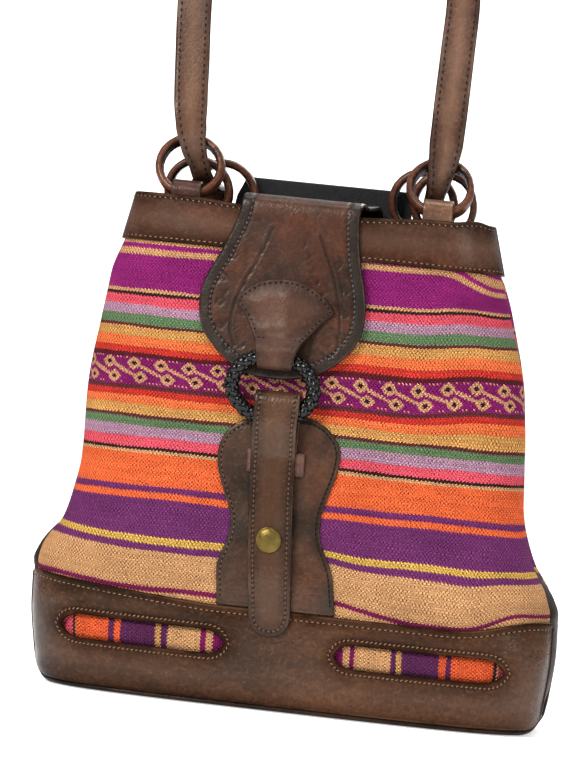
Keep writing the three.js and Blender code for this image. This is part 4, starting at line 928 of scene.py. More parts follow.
def cloth_panel(name, side):
    nz, ns = 150, 236
    zz = np.linspace(52, 280, nz + 1)
    uu = np.linspace(-1, 1, ns + 1)
    Z, U = np.meshgrid(zz, uu, indexing="ij")
    trim = np.where(Z < 67, 1.9, 0.25)
    S = U * s_seam(Z, trim)
    B = cloth_bulge(S, Z, side)
    # the seam edge stays put
    hold = smooth((s_seam(Z, trim) - np.abs(S)) / 7)
    B = B * hold
    top = face(side, S, Z, B)
    bot = face(side, S, Z, B - CLOTH)
    # stripe height with the sag seen near the corners
    sagz = Z + 1.6 * np.exp(-((np.abs(S) - 120) / 30) ** 2) * np.exp(-((Z - 75) / 22) ** 2) + 0.7 * wave(S * 0.03, Z * 0.02, 5)
    if side < 0:
        low = np.clip((106 - Z) / 44, 0, 1)
        sagz = sagz + (2.6 * smooth((S - 22) / 24) * np.clip((106 - Z) / 12, 0, 1) + 5.6 * smooth((S - 34) / 44) * np.clip((92 - Z) / 28, 0, 1)) * (1 - smooth((S - 104) / 30)) + 1.6 * smooth((S - 104) / 30) * np.exp(-((Z - 95) / 12) ** 2) - 4.0 * smooth((S - 122) / 22) * smooth((82 - Z) / 12)
        sagz = sagz + 4.4 * smooth((S + 148) / 70) * smooth((-20 - S) / 20) * np.clip((114 - Z) / 26, 0, 1)
        right = smooth((S - 78) / 44)
        sagz = sagz - 5.0 * smooth((Z - 178) / 55) * smooth((S - 4) / 32) * (1 - 0.4 * smooth((S - 84) / 34)) + right * smooth((Z - 246) / 12) * 8.2 * (1 - 0.16 * smooth((Z - 262) / 10))
        sagz = sagz - 5.4 * smooth((S - 62) / 54) * smooth((Z - 162) / 20) * (1 - smooth((Z - 246) / 12))
    n, m = nz + 1, ns + 1
    idx = np.arange(n * m).reshape(n, m)
    q1 = np.stack([idx[:-1, :-1], idx[:-1, 1:], idx[1:, 1:], idx[1:, :-1]], -1).reshape(-1, 4)
    q2 = (q1 + n * m)[:, ::-1]
    ring = np.concatenate([idx[0, :], idx[1:, -1], idx[-1, ::-1][1:], idx[::-1, 0][1:-1]])
    r2 = np.roll(ring, -1)
    q3 = np.stack([r2, ring, ring + n * m, r2 + n * m], -1)
    faces = np.vstack([q1, q2, q3])
    verts = np.vstack([top.reshape(-1, 3), bot.reshape(-1, 3)])
    uv = np.stack([S.ravel(), sagz.ravel()], 1)
    ob = make(name, verts, faces, [CLOTHM], np.vstack([uv, uv]))
    done(ob, "striped_cloth", name)
    return ob


cloth_panel("front_cloth_panel", -1)
cloth_panel("back_cloth_panel", 1)

# window cloths, standing a little proud in their windows
for nm, cx, mt in (("left_window_cloth", -83.0, WINL), ("right_window_cloth", 81.0, WINR)):
    cx = -WINDOW_X - 1 if nm[0] == "l" else WINDOW_X - 1
    n, m = 20, 110
    zz, xx = np.linspace(-1, 1, n + 1), np.linspace(-1, 1, m + 1)
    Zr, Xr = np.meshgrid(zz, xx, indexing="ij")
    X = cx + Xr * (WINDOW_HALF_L + 4.4)
    Z = WINDOW_Z + Zr * (WINDOW_HALF_H + 4)
    bul = 2.9 * np.clip(1 - (Zr / 0.64) ** 2, 0, 1) ** 0.6 * np.clip(1 - np.abs(Xr / 0.915) ** 8, 0, 1) + 0.12 * np.sin(X * 2.1)
    top = np.stack([X, wall_y(X, Z, -1, -0.5 + bul), Z], -1)
    bot = np.stack([X, wall_y(X, Z, -1, -2.1 + bul), Z], -1)
    idx = np.arange((n + 1) * (m + 1)).reshape(n + 1, m + 1)
    q1 = np.stack([idx[:-1, :-1], idx[:-1, 1:], idx[1:, 1:], idx[1:, :-1]], -1).reshape(-1, 4)
    N = (n + 1) * (m + 1)
    ring = np.concatenate([idx[0, :], idx[1:, -1], idx[-1, ::-1][1:], idx[::-1, 0][1:-1]])
    r2 = np.roll(ring, -1)
    faces = np.vstack([q1, (q1 + N)[:, ::-1], np.stack([r2, ring, ring + N, r2 + N], -1)])
    uv = np.stack([X.ravel(), Z.ravel()], 1)
    ob = make(nm, np.vstack([top.reshape(-1, 3), bot.reshape(-1, 3)]), faces, [mt], np.vstack([uv, uv]))
    done(ob, "striped_cloth", nm)

# ------------------------------------------------------------------ leather bands of the base and the mouth
def band_loop(lo, hi, trim, step=3.0):
    """Outline of a band in length-along-the-wall and height."""
    sl = lambda z: s_seam(z, trim(z))
    pts = []
    for s in np.arange(-sl(lo(156)), sl(lo(156)), step):
        pts.append((s, lo(s)))
    zr = np.linspace(lo(156), hi(156), 14)
    pts += [(float(sl(z)), z) for z in zr]
    for s in np.arange(sl(hi(156)), -sl(hi(156)), -step):
        pts.append((s, hi(s)))
    pts += [(-float(sl(z)), z) for z in zr[::-1]]
    return np.array(pts, float)


def window_loop(cx, grow=0.0):
    L, H = WINDOW_HALF_L + grow, WINDOW_HALF_H + grow
    def bez(a, b, c, d, n=14):
        t = np.linspace(0, 1, n, endpoint=False)[:, None]
        a, b, c, d = (np.array(q, float) for q in (a, b, c, d))
        return (1 - t) ** 3 * a + 3 * (1 - t) ** 2 * t * b + 3 * (1 - t) * t * t * c + t ** 3 * d
    k = L - 14
    P = np.vstack([bez((-L, 0), (-L + 2, H * .7), (-L + 7, H), (-L + 14, H)), bez((-k, H), (-k / 3, H), (k / 3, H), (k, H), 30), bez((k, H), (L - 7, H), (L - 2, H * .7), (L, 0)),
                   bez((L, 0), (L - 2, -H * .7), (L - 7, -H), (k, -H)), bez((k, -H), (k / 3, -H), (-k / 3, -H), (-k, -H), 30), bez((-k, -H), (-L + 7, -H), (-L + 2, -H * .7), (-L, 0))])
    P[:, 0] += cx
    P[:, 1] += WINDOW_Z
    P[:, 0] = [float(s_of_x(x, z)) for x, z in P]
    return P


MID = GAP + SKIN / 2


def base_map(side):
    def f(s, z, h):
        # a little fullness in the middle of the height, rounding in to the lower edge and the corners
        z = np.asarray(z, float)
        full = 1.5 * np.clip(1 - ((z - 31) / 29.0) ** 2, 0, 1) ** 0.8 * smooth((s_seam(np.clip(z, 2, 80), 0) - np.abs(s)) / 16)
        tuck = 1.0 * smooth((11 - z) / 9)
        return face(side, s, z, MID + full - tuck + h)
    return f


base_out = band_loop(base_low, base_top, lambda z: 1.0)
def base_relief(a, b, d):
    r = 0.16 * wave(a * 0.06, b * 0.09, 21) + 0.07 * wave(a * 0.3, b * 0.3, 22)
    for cx in (-WINDOW_X - 1, WINDOW_X - 1):
        dw = dist_to(np.stack([a, b], 1), [window_loop(cx)])
        r = r + 0.55 * np.exp(-((dw - 1.5) / 1.5) ** 2) - 0.28 * np.exp(-((dw - 4.0) / 0.8) ** 2)
    r = r - 0.3 * np.exp(-((d - 4.0) / 0.75) ** 2) * (b > 45)
    return r


ob = pattern("front_base_band", [base_out, window_loop(-WINDOW_X - 1), window_loop(WINDOW_X - 1)], base_map(-1), SKIN, [BASE], grid=2.0, relief=base_relief, rim=1.0)
done(ob, "brown_leather", "front_base_band")
ob = pattern("back_base_band", [base_out], base_map(1), SKIN, [BASE], grid=2.6, rim=1.0, relief=lambda a, b, d: 0.16 * wave(a * 0.06, b * 0.09, 25) - 0.3 * np.exp(-((d - 4.0) / 0.75) ** 2) * (b > 45))
done(ob, "brown_leather", "back_base_band")

mouth_out = band_loop(lambda s: BAND_LOW + 0 * s, band_top, lambda z: 0.25)


def mouth_map(side):
    def f(s, z, h):
        return face(side, s, z, MID + h + 0.0)
    return f


def mouth_relief(a, b, d):
    return 0.2 * wave(a * 0.07, b * 0.1, 31) - 0.28 * np.exp(-((d - 2.5) / 0.7) ** 2)


for nm, side in (("front_mouth_band", -1), ("back_mouth_band", 1)):
    ob = pattern(nm, [mouth_out], mouth_map(side), SKIN, [BROWN], grid=2.2, rim=1.0, relief=mouth_relief)
    done(ob, "brown_leather", nm)

# ------------------------------------------------------------------ side gussets and bottom
for nm, sx in (("left_side_gusset", -1), ("right_side_gusset", 1)):
    def gusset(U, W, side=sx):
        z = 12.2 + (106 - 12.2) * W
        cut = np.where(z < 67, 2.2, 0.3)
        yl = np.maximum(seam_share(z) - cut / half_depth(z), 0.004) * half_depth(z)
        c = np.cos(2 * pi * U)
        s = np.sin(2 * pi * U)
        f = np.sign(c) * np.abs(c) ** 0.6
        y = yl * f
        w, d, n = half_width(z), half_depth(z), squareness(z)
        x = w * (1 - np.abs(y / d) ** n) ** (1 / n)
        swell = smooth((z - 13) / 22) * smooth((107 - z) / 18) * np.clip(1 - (y / np.maximum(yl, 1)) ** 2, 0, 1) ** 0.7
        off = -0.8 + 0.8 * np.sign(s) * np.abs(s) ** 0.35 + ((3.1 + 1.7 * smooth((z - 62) / 12)) if side < 0 else 2.5) * swell + 0.4 * swell * wave(y * 0.12, z * 0.1, 41)
        return np.stack([side * (x + off), y, z], -1)
    ob = grid_solid(nm, gusset, 48, 60, [DARKM], uvf=lambda U, W: np.stack([U * 60, W * 94], -1), attrs={"edge": lambda U, W: 3 + 0 * U, "back": lambda U, W: 0 * U})
    done(ob, "dark_leather", nm)


def bottom_piece():
    flat, arc = 144.0, CORNER_R * (pi / 2 - 0.03)
    total = flat + arc
    zb = 1.8
    wb, db, nb = float(half_width(zb)), float(half_depth(zb)), float(squareness(zb))
    ylim = lambda x: np.maximum(18, db * (1 - np.minimum(np.abs(x) / wb, 1) ** nb) ** (1 / nb) - 2.4)
    n, m = 24, 150
    V, S = np.meshgrid(np.linspace(-1, 1, n + 1), np.linspace(-total, total, m + 1), indexing="ij")
    sg, a = np.where(S < 0, -1, 1), np.abs(S)
    b = np.maximum(a - flat, 0) / CORNER_R
    x = np.where(a <= flat, a, flat + CORNER_R * np.sin(b))
    z = np.where(a <= flat, 0, CORNER_R - CORNER_R * np.cos(b))
    nx, nz = np.where(a <= flat, 0, -np.sin(b)), np.where(a <= flat, 1, np.cos(b))
    yl = np.where(a <= flat, ylim(x), ylim(flat) + (18 - ylim(flat)) * smooth((a - flat) / 6))
    de = np.minimum((1 - np.abs(V)) * yl, total - a)
    k = np.clip(de / 0.8, 0, 1) ** 0.5
    def P(h):
        return np.stack([sg * (x + nx * h), V * yl, z + nz * h], -1)
    top, bot = P(SKIN / 2 + k * SKIN / 2 * 0.98), P(SKIN / 2 - k * SKIN / 2)
    N = (n + 1) * (m + 1)
    idx = np.arange(N).reshape(n + 1, m + 1)
    q1 = np.stack([idx[:-1, :-1], idx[:-1, 1:], idx[1:, 1:], idx[1:, :-1]], -1).reshape(-1, 4)
    ring = np.concatenate([idx[0, :], idx[1:, -1], idx[-1, ::-1][1:], idx[::-1, 0][1:-1]])
    r2 = np.roll(ring, -1)
    faces = np.vstack([q1, (q1 + N)[:, ::-1], np.stack([r2, ring, ring + N, r2 + N], -1)])
    uv = np.stack([S.ravel(), (V * yl).ravel()], 1)
    ob = make("bottom_panel", np.vstack([top.reshape(-1, 3), bot.reshape(-1, 3)]), faces, [DARKM], np.vstack([uv, uv]), {"edge": np.concatenate([de.ravel(), de.ravel()]), "back": np.zeros(2 * N)})
    done(ob, "dark_leather", "bottom_panel")


bottom_piece()

# lining cup
def lining_piece():
    rows = [(0.0, 4.4, 0), (0.45, 4.4, 0), (0.8, 4.4, 0), (0.93, 4.5, 0), (0.975, 6.0, 0)] + [(1, z, -3.2) for z in np.linspace(14, 276, 60)] + [(1, 276.5, -3.65)] + [(1, z, -4.1) for z in np.linspace(276, 14, 60)] + [(0.965, 7.2, 0), (0.92, 5.5, 0), (0.8, 5.3, 0), (0.45, 5.3, 0), (0.0, 5.3, 0)]
    seg = 160
    V, uv = [], []
    ph = np.linspace(0, 2 * pi, 2401)
    for r, z, off in rows:
        o = off if r == 1 else -2.4
        x, y = outline(z, ph, o)
        L = np.concatenate([[0], np.cumsum(np.hypot(np.diff(x), np.diff(y)))])
        s = np.arange(seg) / seg * L[-1]
        X, Y = np.interp(s, L, x), np.interp(s, L, y)
        if off == -4.1:
            f = 1 - 0.012 * np.abs(np.sin(s / 14 + 2 * np.sin(z / 40))) * smooth((270 - z) / 30)
            X, Y = X * f, Y * f
        V.append(np.stack([X * r, Y * r, np.full(seg, z)], 1))
        uv.append(np.stack([s, np.full(seg, z + (0 if off > -4 else 300))], 1))
    V, uv = np.array(V), np.array(uv)
    n = len(rows)
    idx = np.arange(n * seg).reshape(n, seg)
    faces = []
    for i in range(1, n - 2):
        a, b = idx[i], idx[i + 1]
        faces += [tuple(q) for q in np.stack([a, np.roll(a, -1), np.roll(b, -1), b], -1)]
    # centre fans
    c0, c1 = 0, idx[-1, 0]
    verts = V.reshape(-1, 3)
    for j in range(seg):
        k = (j + 1) % seg
        faces.append((c0, idx[1, k], idx[1, j]))
        faces.append((c1, idx[-2, j], idx[-2, k]))
    keep = np.ones(len(verts), bool)
    keep[idx[0, 1:]] = False
    keep[idx[-1, 1:]] = False
    new = np.cumsum(keep) - 1
    faces = [tuple(int(new[i]) for i in f) for f in faces]
    ob = make("lining", verts[keep], faces, [LININGM], uv.reshape(-1, 2)[keep])
    done(ob, "lining_cloth", "lining")


lining_piece()

# piping
def tube_path(P, r, name, mat, slot, nodes, seg=10, leaned=True, twist=0.0):
    P = np.asarray(P, float)
    T = np.gradient(P, axis=0)
    T /= np.linalg.norm(T, axis=1)[:, None]
    up = np.array([0.13, 1.0, 0.21])
    A = np.cross(T, up)
    A /= np.linalg.norm(A, axis=1)[:, None]
    B = np.cross(T, A)
    L = np.concatenate([[0], np.cumsum(np.linalg.norm(np.diff(P, axis=0), axis=1))])
    def F(U, W):
        i = np.clip((W * (len(P) - 1)).round().astype(int), 0, len(P) - 1)
        end = np.clip(np.minimum(L[i], L[-1] - L[i]) / r, 0, 1)
        k = np.sqrt(np.clip(1 - (1 - end) ** 2, 0.02, 1))
        rr = r * k
        return P[i] + (np.cos(2 * pi * U) * rr)[..., None] * A[i] + (np.sin(2 * pi * U) * rr)[..., None] * B[i]
    ob = grid_solid(name, F, seg, len(P) - 1, [mat], uvf=lambda U, W: np.stack([U * 2 * pi * r, W * L[-1]], -1), attrs={"edge": lambda U, W: 5 + 0 * U, "back": lambda U, W: 0 * U}, leaned=leaned)
    return done(ob, slot, *nodes)


for nm, side in (("front_piping", -1), ("back_piping", 1)):
    pts = []
    def at(z, share, sx):
        f = math.asin(share ** (float(squareness(z)) / 2))
        phi = (pi + f if sx < 0 else 2 * pi - f) if side < 0 else (pi - f if sx < 0 else f)
        x, y = outline(z, phi, 0.5 + 0.9 * float(smooth((z - 6) / 14)))
        return [float(x), float(y), z]
    for z in (66, 58, 50, 43, 36, 30, 24, 19, 15, 12, 9):
        pts.append(at(z, SEAM_F, -1))
    pts.append(at(3.9, 0.38, -1))
    f0 = math.asin(0.5 ** (float(squareness(1.85)) / 2))
    ph = np.linspace(pi + f0, 2 * pi - f0, 3000) if side < 0 else np.linspace(pi - f0, f0, 3000)
    x, y = outline(1.85, ph, 0.5)
    L = np.concatenate([[0], np.cumsum(np.hypot(np.diff(x), np.diff(y)))])
    s = np.linspace(0, L[-1], 40)
    pts += [[a, b, 1.85] for a, b in zip(np.interp(s, L, x), np.interp(s, L, y))]
    pts.append(at(3.9, 0.38, 1))
    for z in (9, 12, 15, 19, 24, 30, 36, 43, 50, 58, 66):
        pts.append(at(z, SEAM_F, 1))
    tube_path(spline(pts, 1.5, closed=False), 1.5, nm, PIPEM, "black_leather", [nm])

# ------------------------------------------------------------------ strips that follow rows: flap, tab, closure strap
class RowSurface:
    """A surface through rows; row i gives a middle point and an outward direction at any x."""
    def __init__(self, rows):
        self.rows = rows
        xs = np.zeros(1)
        P = np.array([self.point(i, xs)[0][0] for i in range(len(rows))])
        self.t = np.concatenate([[0], np.cumsum(np.linalg.norm(np.diff(P, axis=0), axis=1))])

    def point(self, i, x):
        r = self.rows[i]
        if r[0] == "c":
            _, y, z, ny, nz = r
            return np.stack([x, np.full_like(x, y), np.full_like(x, z)], -1), np.stack([0 * x, np.full_like(x, ny), np.full_like(x, nz)], -1)
        _, z, off, nz, no = r
        y = wall_y(x, min(z, 300), -1, 0)
        return np.stack([x, y - off, np.full_like(x, z)], -1), np.stack([0 * x, np.full_like(x, -no), np.full_like(x, nz)], -1)

    def __call__(self, x, t, h):
        x, t, h = np.broadcast_arrays(*(np.asarray(a, float) for a in (x, t, h)))
        sh = x.shape
        x, t, h = x.ravel(), t.ravel(), h.ravel()
        R = len(self.rows)
        A = np.empty((R, len(x), 3))
        N = np.empty((R, len(x), 3))
        for i in range(R):
            A[i], N[i] = self.point(i, x)
        T = self.t
        tt = np.clip(t, T[0], T[-1])
        i = np.clip(np.searchsorted(T, tt, side="right") - 1, 0, R - 2)
        hgt = T[i + 1] - T[i]
        s = (tt - T[i]) / hgt
        k = np.arange(len(x))
        def tang(D, j):
            a, b = np.clip(j - 1, 0, R - 1), np.clip(j + 1, 0, R - 1)
            return (D[b, k] - D[a, k]) / (T[b] - T[a])[:, None]
        def herm(D):
            s1, h1 = s[:, None], hgt[:, None]
            return (2 * s1 ** 3 - 3 * s1 ** 2 + 1) * D[i, k] + (s1 ** 3 - 2 * s1 ** 2 + s1) * h1 * tang(D, i) + (-2 * s1 ** 3 + 3 * s1 ** 2) * D[i + 1, k] + (s1 ** 3 - s1 ** 2) * h1 * tang(D, i + 1)
        P, n = herm(A), herm(N)
        n /= np.maximum(np.linalg.norm(n, axis=1)[:, None], 1e-9)
        # beyond the ends, carry on straight
        over = (t - tt)[:, None]
        e = np.where(over > 0, (A[-1] - A[-2]) / (T[-1] - T[-2]), (A[1] - A[0]) / (T[1] - T[0]))
        return (P + e * over + n * h[:, None]).reshape(sh + (3,))

    def z_to_t(self, front_from):
        zs, ts = [], []
        for i in range(front_from, len(self.rows)):
            zs.append(self.rows[i][1])
            ts.append(self.t[i])
        zs, ts = np.array(zs)[::-1], np.array(ts)[::-1]
        return lambda z: np.interp(z, zs, ts)


FLAP_OFF, FLAP_T = GAP + SKIN + GAP, 3.0
crest = [[29.2, 285], [29.2, 293], [27.4, 298.8], [21, 302.2], [4, 301.2], [-16, 300.6], [-31, 301.8], [-38.6, 299.0]]
frows = []
for i in range(len(crest)):
    a, b = crest[max(i - 1, 0)], crest[min(i + 1, len(crest) - 1)]
    ty, tz = b[0] - a[0], b[1] - a[1]
    l = math.hypot(ty, tz)
    frows.append(("c", crest[i][0], crest[i][1], tz / l, -ty / l))
NC = len(frows)
for z in (293, 287, 280, 270, 257, 245, 234, 224, 215, 208, 202, 198, 194.8, 191):
    frows.append(("w", z, FLAP_OFF + FLAP_T / 2, 0.0, 1.0))
FLAP = RowSurface(frows)
f_zt = FLAP.z_to_t(NC)
flap_pts = [(-41.6, 293), (-44.6, 284), (-48.6, 274), (-52.8, 264.6), (-58.2, 254.6), (-61.3, 247.0), (-62.8, 237.1), (-61.6, 226), (-57.4, 216.6), (-50.4, 208.6), (-41.4, 201.6), (-31.6, 196.9), (-22, 194.9), (-8, 195.0),
            (3.4, 197.2), (13.8, 201.4), (22.6, 207.3), (30.2, 215.4), (35.2, 224.6), (37.1, 237.4), (36.0, 250.3), (33.4, 262), (31.3, 274), (30.2, 285), (29.9, 293)]
fl = [(x, float(f_zt(z))) for x, z in flap_pts]
T0 = FLAP.t[NC]
left_up = [(-39.4 - 1.4 * k, T0 * k) for k in (0.0, 0.15, 0.3, 0.5, 0.7, 0.85)]
right_up = [(38 - 8 * k, T0 * k) for k in (0.85, 0.7, 0.5, 0.3, 0.15, 0.0)]
curve = spline([left_up[-1]] + fl + [right_up[0]], 1.5, closed=False)
flap_loop = np.vstack([np.array(left_up[:-1]), curve, np.array(right_up[1:])])[::-1]
# resample the straight back edge too
flap_loop = resample(flap_loop, 1.4)

# tooling: two inner lines that echo the edge, scrolls and a line of stamps; all generic
def tool_line(d, at, w=0.45, deep=0.32):
    return -deep * np.exp(-((d - at) / w) ** 2)


def scroll(cx, cz, r, turns, sgn, start):
    th = np.linspace(0, turns * 2 * pi, 60)
    rr = r * (1 - th / th[-1] * 0.8)
    return np.stack([cx + sgn * rr * np.cos(th + start), cz + rr * np.sin(th + start)], 1)


TOOLS = []
for sgn in (-1, 1):
    xo = -12.6
    for cx, cz, r, st in ((31.5, 265, 3.1, 0.4), (36.2, 251.5, 3.3, -0.9), (37.9, 237.5, 3.2, 2.2), (36.6, 224, 3.1, 3.2), (30.5, 211.5, 2.9, 4.2)):
        c = scroll(xo + sgn * cx, cz, r, 1.25, sgn, st)
        TOOLS.append(c)
        TOOLS.append(np.array([c[0], c[0] + np.array([-sgn * 1.4, 2.8]), c[0] + np.array([-sgn * 3.2, 4.4])]))
    for k in range(7):
        # a row of small crescent stamps up the middle of each half
        zc = 233 + 7.2 * k
        xc = xo + sgn * (22.6 - 0.42 * (zc - 246) * (zc > 246))
        th = np.linspace(-1.1, 1.1, 9) + (0.35 if k % 2 else -0.2)
        TOOLS.append(np.stack([xc + sgn * 1.5 * np.cos(th), zc + 1.9 * np.sin(th)], 1))
TOOLS_T = [np.stack([p[:, 0], f_zt(p[:, 1])], 1) for p in TOOLS]
LINES = [np.array([(-21, 284), (-24, 276), (-30, 262), (-35.6, 251), (-40, 240), (-42.6, 229), (-42.4, 220), (-39, 212.6), (-35, 211), (-33.6, 214)]), np.array([(7.5, 282), (11.4, 272), (17, 258), (20.1, 245.5), (22, 235), (22.3, 225), (20.6, 214.5), (16.4, 210.4), (13.4, 213)])]
LINES_T = [np.stack([spline(p, 1.5, False)[:, 0], f_zt(spline(p, 1.5, False)[:, 1])], 1) for p in LINES]


def flap_relief(a, b, d):
    P = np.stack([a, b], 1)
    r = 0.14 * wave(a * 0.09, b * 0.08, 51) + 0.05 * wave(a * 0.4, b * 0.35, 52)
    r = r + tool_line(d, 7.4, 0.55, 0.4) + 0.12 * smooth((7.2 - d) / 2.5)
    dt = np.full(len(a), 99.0)
    for L in TOOLS_T:
        dt = np.minimum(dt, dist_to(P, [L], closed=False))
    r = r - 0.42 * np.exp(-(dt / 0.5) ** 2)
    for L in LINES_T:
        dl = dist_to(P, [L], closed=False)
        r = r - 0.5 * np.exp(-((dl - 0.0) / 0.6) ** 2) + 0.22 * np.exp(-((dl - 1.3) / 0.6) ** 2)
    return r


def flap_tooled(a, b, d):
    P = np.stack([a, b], 1)
    dt = np.full(len(a), 99.0)
    for L in TOOLS_T:
        dt = np.minimum(dt, dist_to(P, [L], closed=False))
    r = 0.75 * np.exp(-(dt / 0.75) ** 2)
    for L in LINES_T:
        dl = dist_to(P, [L], closed=False)
        r = np.maximum(r, 0.85 * np.exp(-(dl / 0.75) ** 2))
    return np.maximum(r, 0.5 * np.exp(-((d - 7.4) / 0.6) ** 2))


ob = pattern("flap", [flap_loop], FLAP, FLAP_T, [FLAPM], grid=1.15, step=1.2, rim=1.3, relief=flap_relief, tooled=flap_tooled)
done(ob, "tooled_leather", "flap")

TAB_T = 1.8
ON_FLAP = FLAP_OFF + FLAP_T + GAP + TAB_T / 2
a0, c0 = ON_FLAP, ON_FLAP + TAB_T / 2 + GAP + 3.8
tab_rows = [[254, a0, -13, -8], [253.4, a0, -21, 0], [251.4, a0, -27, 6], [248.4, a0, -32, 10.5], [244.5, a0, -36.4, 14.5], [240.6, a0, -39.7, 18], [237.6, a0, -40, 19.6], [234, a0, -37, 17],
            [229.5, a0 + 0.3, -33, 12.6], [225, a0 + 1.2, -30, 8.8], [221.5, a0 + 3, -28.2, 5.6], [218.6, a0 + 5.5, -27.2, 3.2], [215.8, a0 + 8.4, -26.4, 1.4], [212, c0 + 5.2, -25.4, -0.4], [207.8, c0 + 5.2, -24.6, -1.8],
            [203.6, c0 + 4.3, -24.2, -2.6], [201.6, c0 + 2.2, -24, -3], [201.1, c0, -24, -3], [201.6, c0 - 2.2, -24, -3], [203.2, c0 - 4.2, -24, -3], [206.6, a0, -24, -3], [212.4, a0, -24, -3]]


def run_rows(rows):
    out = []
    for i, r in enumerate(rows):
        a, b = rows[max(i - 1, 0)], rows[min(i + 1, len(rows) - 1)]
        tz, to = b[0] - a[0], b[1] - a[1]
        l = math.hypot(tz, to)
        out.append(("w", r[0], r[1], to / l, -tz / l))
    return out


TAB = RowSurface(run_rows(tab_rows))
# fan outline in x and length along the strip
tz = {z: TAB.t[i] for i, (z, *_r) in enumerate(tab_rows[:13])}
tab_zt = lambda z: float(np.interp(-z, [-r[0] for r in tab_rows[:13]], TAB.t[:13]))
fan = [(-13, 254.0), (-20.5, 253.2), (-27.5, 250.8), (-34.0, 246.6), (-38.4, 242.4), (-40.7, 239.3), (-38.6, 236.2), (-35.6, 232.8), (-32.6, 228.6), (-29.8, 223.6), (-28.0, 219.4)]
fan_r = [(2.4, 217.5), (5.4, 221.6), (8.6, 226.0), (12.2, 230.4), (16.2, 234.0), (19.2, 236.8), (17.4, 239.8), (13.6, 244.2), (8.4, 248.4), (2.0, 251.8), (-5, 253.9)]
left = [(x, tab_zt(z)) for x, z in fan] + [(r[2], TAB.t[i]) for i, r in enumerate(tab_rows) if i >= 12]
right = [(r[3], TAB.t[i]) for i, r in list(enumerate(tab_rows))[::-1] if i >= 12] + [(x, tab_zt(z)) for x, z in fan_r]
tab_loop = np.vstack([resample(np.array(left), 1.3, False), resample(np.array(right), 1.3, False)])
def tab_relief(a, b, d):
    fan_ = smooth((tab_zt(217) - b) / 6)
    dome = 1.5 * smooth((d - 2.6) / 9) * fan_
    dome = dome + 0.7 * fan_ * smooth((d - 3) / 8) * np.exp(-((a + 9.5) / 4.5) ** 2)
    return dome - 0.25 * np.exp(-((d - 2.0) / 0.6) ** 2) + 0.1 * wave(a * 0.12, b * 0.12, 61)


ob = pattern("ring_tab", [tab_loop], TAB, TAB_T, [TABM], grid=1.6, step=1.1, rim=0.8, relief=tab_relief)
done(ob, "red_brown_leather", "ring_tab")

# hourglass patch
PATCH_T, PATCH_OUT = 1.7, GAP + 1.7
patch_pts = [(-7, 173.2), (4, 174.2), (9.4, 173.6), (14.4, 171.4), (20.0, 168.0), (24.2, 163.4), (27.0, 158.6), (27.8, 153.2), (27.2, 146.4), (26.0, 140.6), (23.4, 132.4), (21.0, 125.2), (19.2, 118.4), (18.6, 111.6), (19.1, 105.0), (21.6, 97.4), (25.2, 90.6), (27.8, 83.0), (29.2, 74.0), (30.2, 66.0), (30.8, 59.9)]
patch_left = [(-39.8, 59.9), (-40.2, 70.0), (-40.9, 78.4), (-40.8, 84.0), (-38.4, 91.6), (-36.0, 98.6), (-34.7, 105.6), (-34.9, 111.6), (-36.6, 117.4), (-39.6, 124.8), (-42.4, 132.2), (-44.6, 140.0), (-45.4, 147.4), (-44.0, 155.0), (-40.4, 161.6), (-33.6, 167.4), (-26.0, 170.6), (-16, 172.4)]
patch_loop = np.vstack([spline(patch_pts, 1.3, False), resample(np.array([patch_pts[-1], patch_left[0]], float), 1.3, False)[1:-1], spline(patch_left, 1.3, False)])


def patch_map(x, z, h):
    x, z, h = np.broadcast_arrays(x, z, h)
    return np.stack([x, wall_y(x, z, -1, GAP + PATCH_T / 2 + h), z], -1)


ob = pattern("hourglass_patch", [patch_loop], patch_map, PATCH_T, [PATCHM], grid=2.0, step=1.3, rim=0.8, relief=lambda a, b, d: -0.25 * np.exp(-((d - 2.4) / 0.7) ** 2) + 0.15 * wave(a * 0.1, b * 0.08, 71))
done(ob, "red_brown_leather", "hourglass_patch")

# closure strap
b0 = PATCH_OUT + GAP + 0.9
cs_rows = [[117, b0, -22, 0.6], [130, b0, -23, 1.6], [145, b0, -23.4, 2], [160, b0, -23.7, 2.4], [172, b0, -24, 2.8], [180, b0, -24, 3], [184.6, b0 + 1.4, -24, 3.2], [187, b0 + 4.4, -24, 3.2],
           [187, b0 + 7, -24, 3.2], [184.4, b0 + 9.9, -24, 3.2], [179, b0 + 10.6, -24, 3], [171, b0 + 10.4, -24.2, 2.4], [164, b0 + 8.8, -24.4, 2], [157, b0 + 6.2, -24.6, 2], [150, b0 + 4.5, -24.7, 2], [140, b0 + 4.2, -24.6, 2],
           [126, b0 + 4.0, -24.2, 2.2], [110, b0 + 4.0, -23.4, 3], [94, b0 + 3.8, -22.4, 3.8], [78, b0 + 2.9, -21.2, 4.4], [64, b0 + 1.9, -20.3, 4.8], [56, b0 + 1.5, -19.8, 4.8], [51, b0 + 1.5, -18.4, 3.8], [47.4, b0 + 1.5, -15.6, 1.4],
           [44.2, b0 + 1.5, -9, -5]]
CS = RowSurface(run_rows(cs_rows))
cs_zt = lambda z: float(np.interp(-z, [-r[0] for r in cs_rows[9:]], CS.t[9:]))
cs_left = [(r[2], CS.t[i]) for i, r in enumerate(cs_rows) if r[0] > 60 or i < 9]
cs_right = [(r[3], CS.t[i]) for i, r in enumerate(cs_rows) if r[0] > 60 or i < 9]
tip = spline([cs_left[-1], (-19.9, cs_zt(56)), (-18.8, cs_zt(51.4)), (-16.2, cs_zt(47.6)), (-12.4, cs_zt(45.0)), (-7.2, cs_zt(44.2)), (-2.2, cs_zt(45.2)), (1.4, cs_zt(47.6)), (4.0, cs_zt(51.4)), (5.0, cs_zt(56)), cs_right[-1]], 1.2, False)
cs_loop = np.vstack([resample(np.array(cs_left), 1.3, False)[:-1], tip, resample(np.array(cs_right[::-1]), 1.3, False)[1:]])
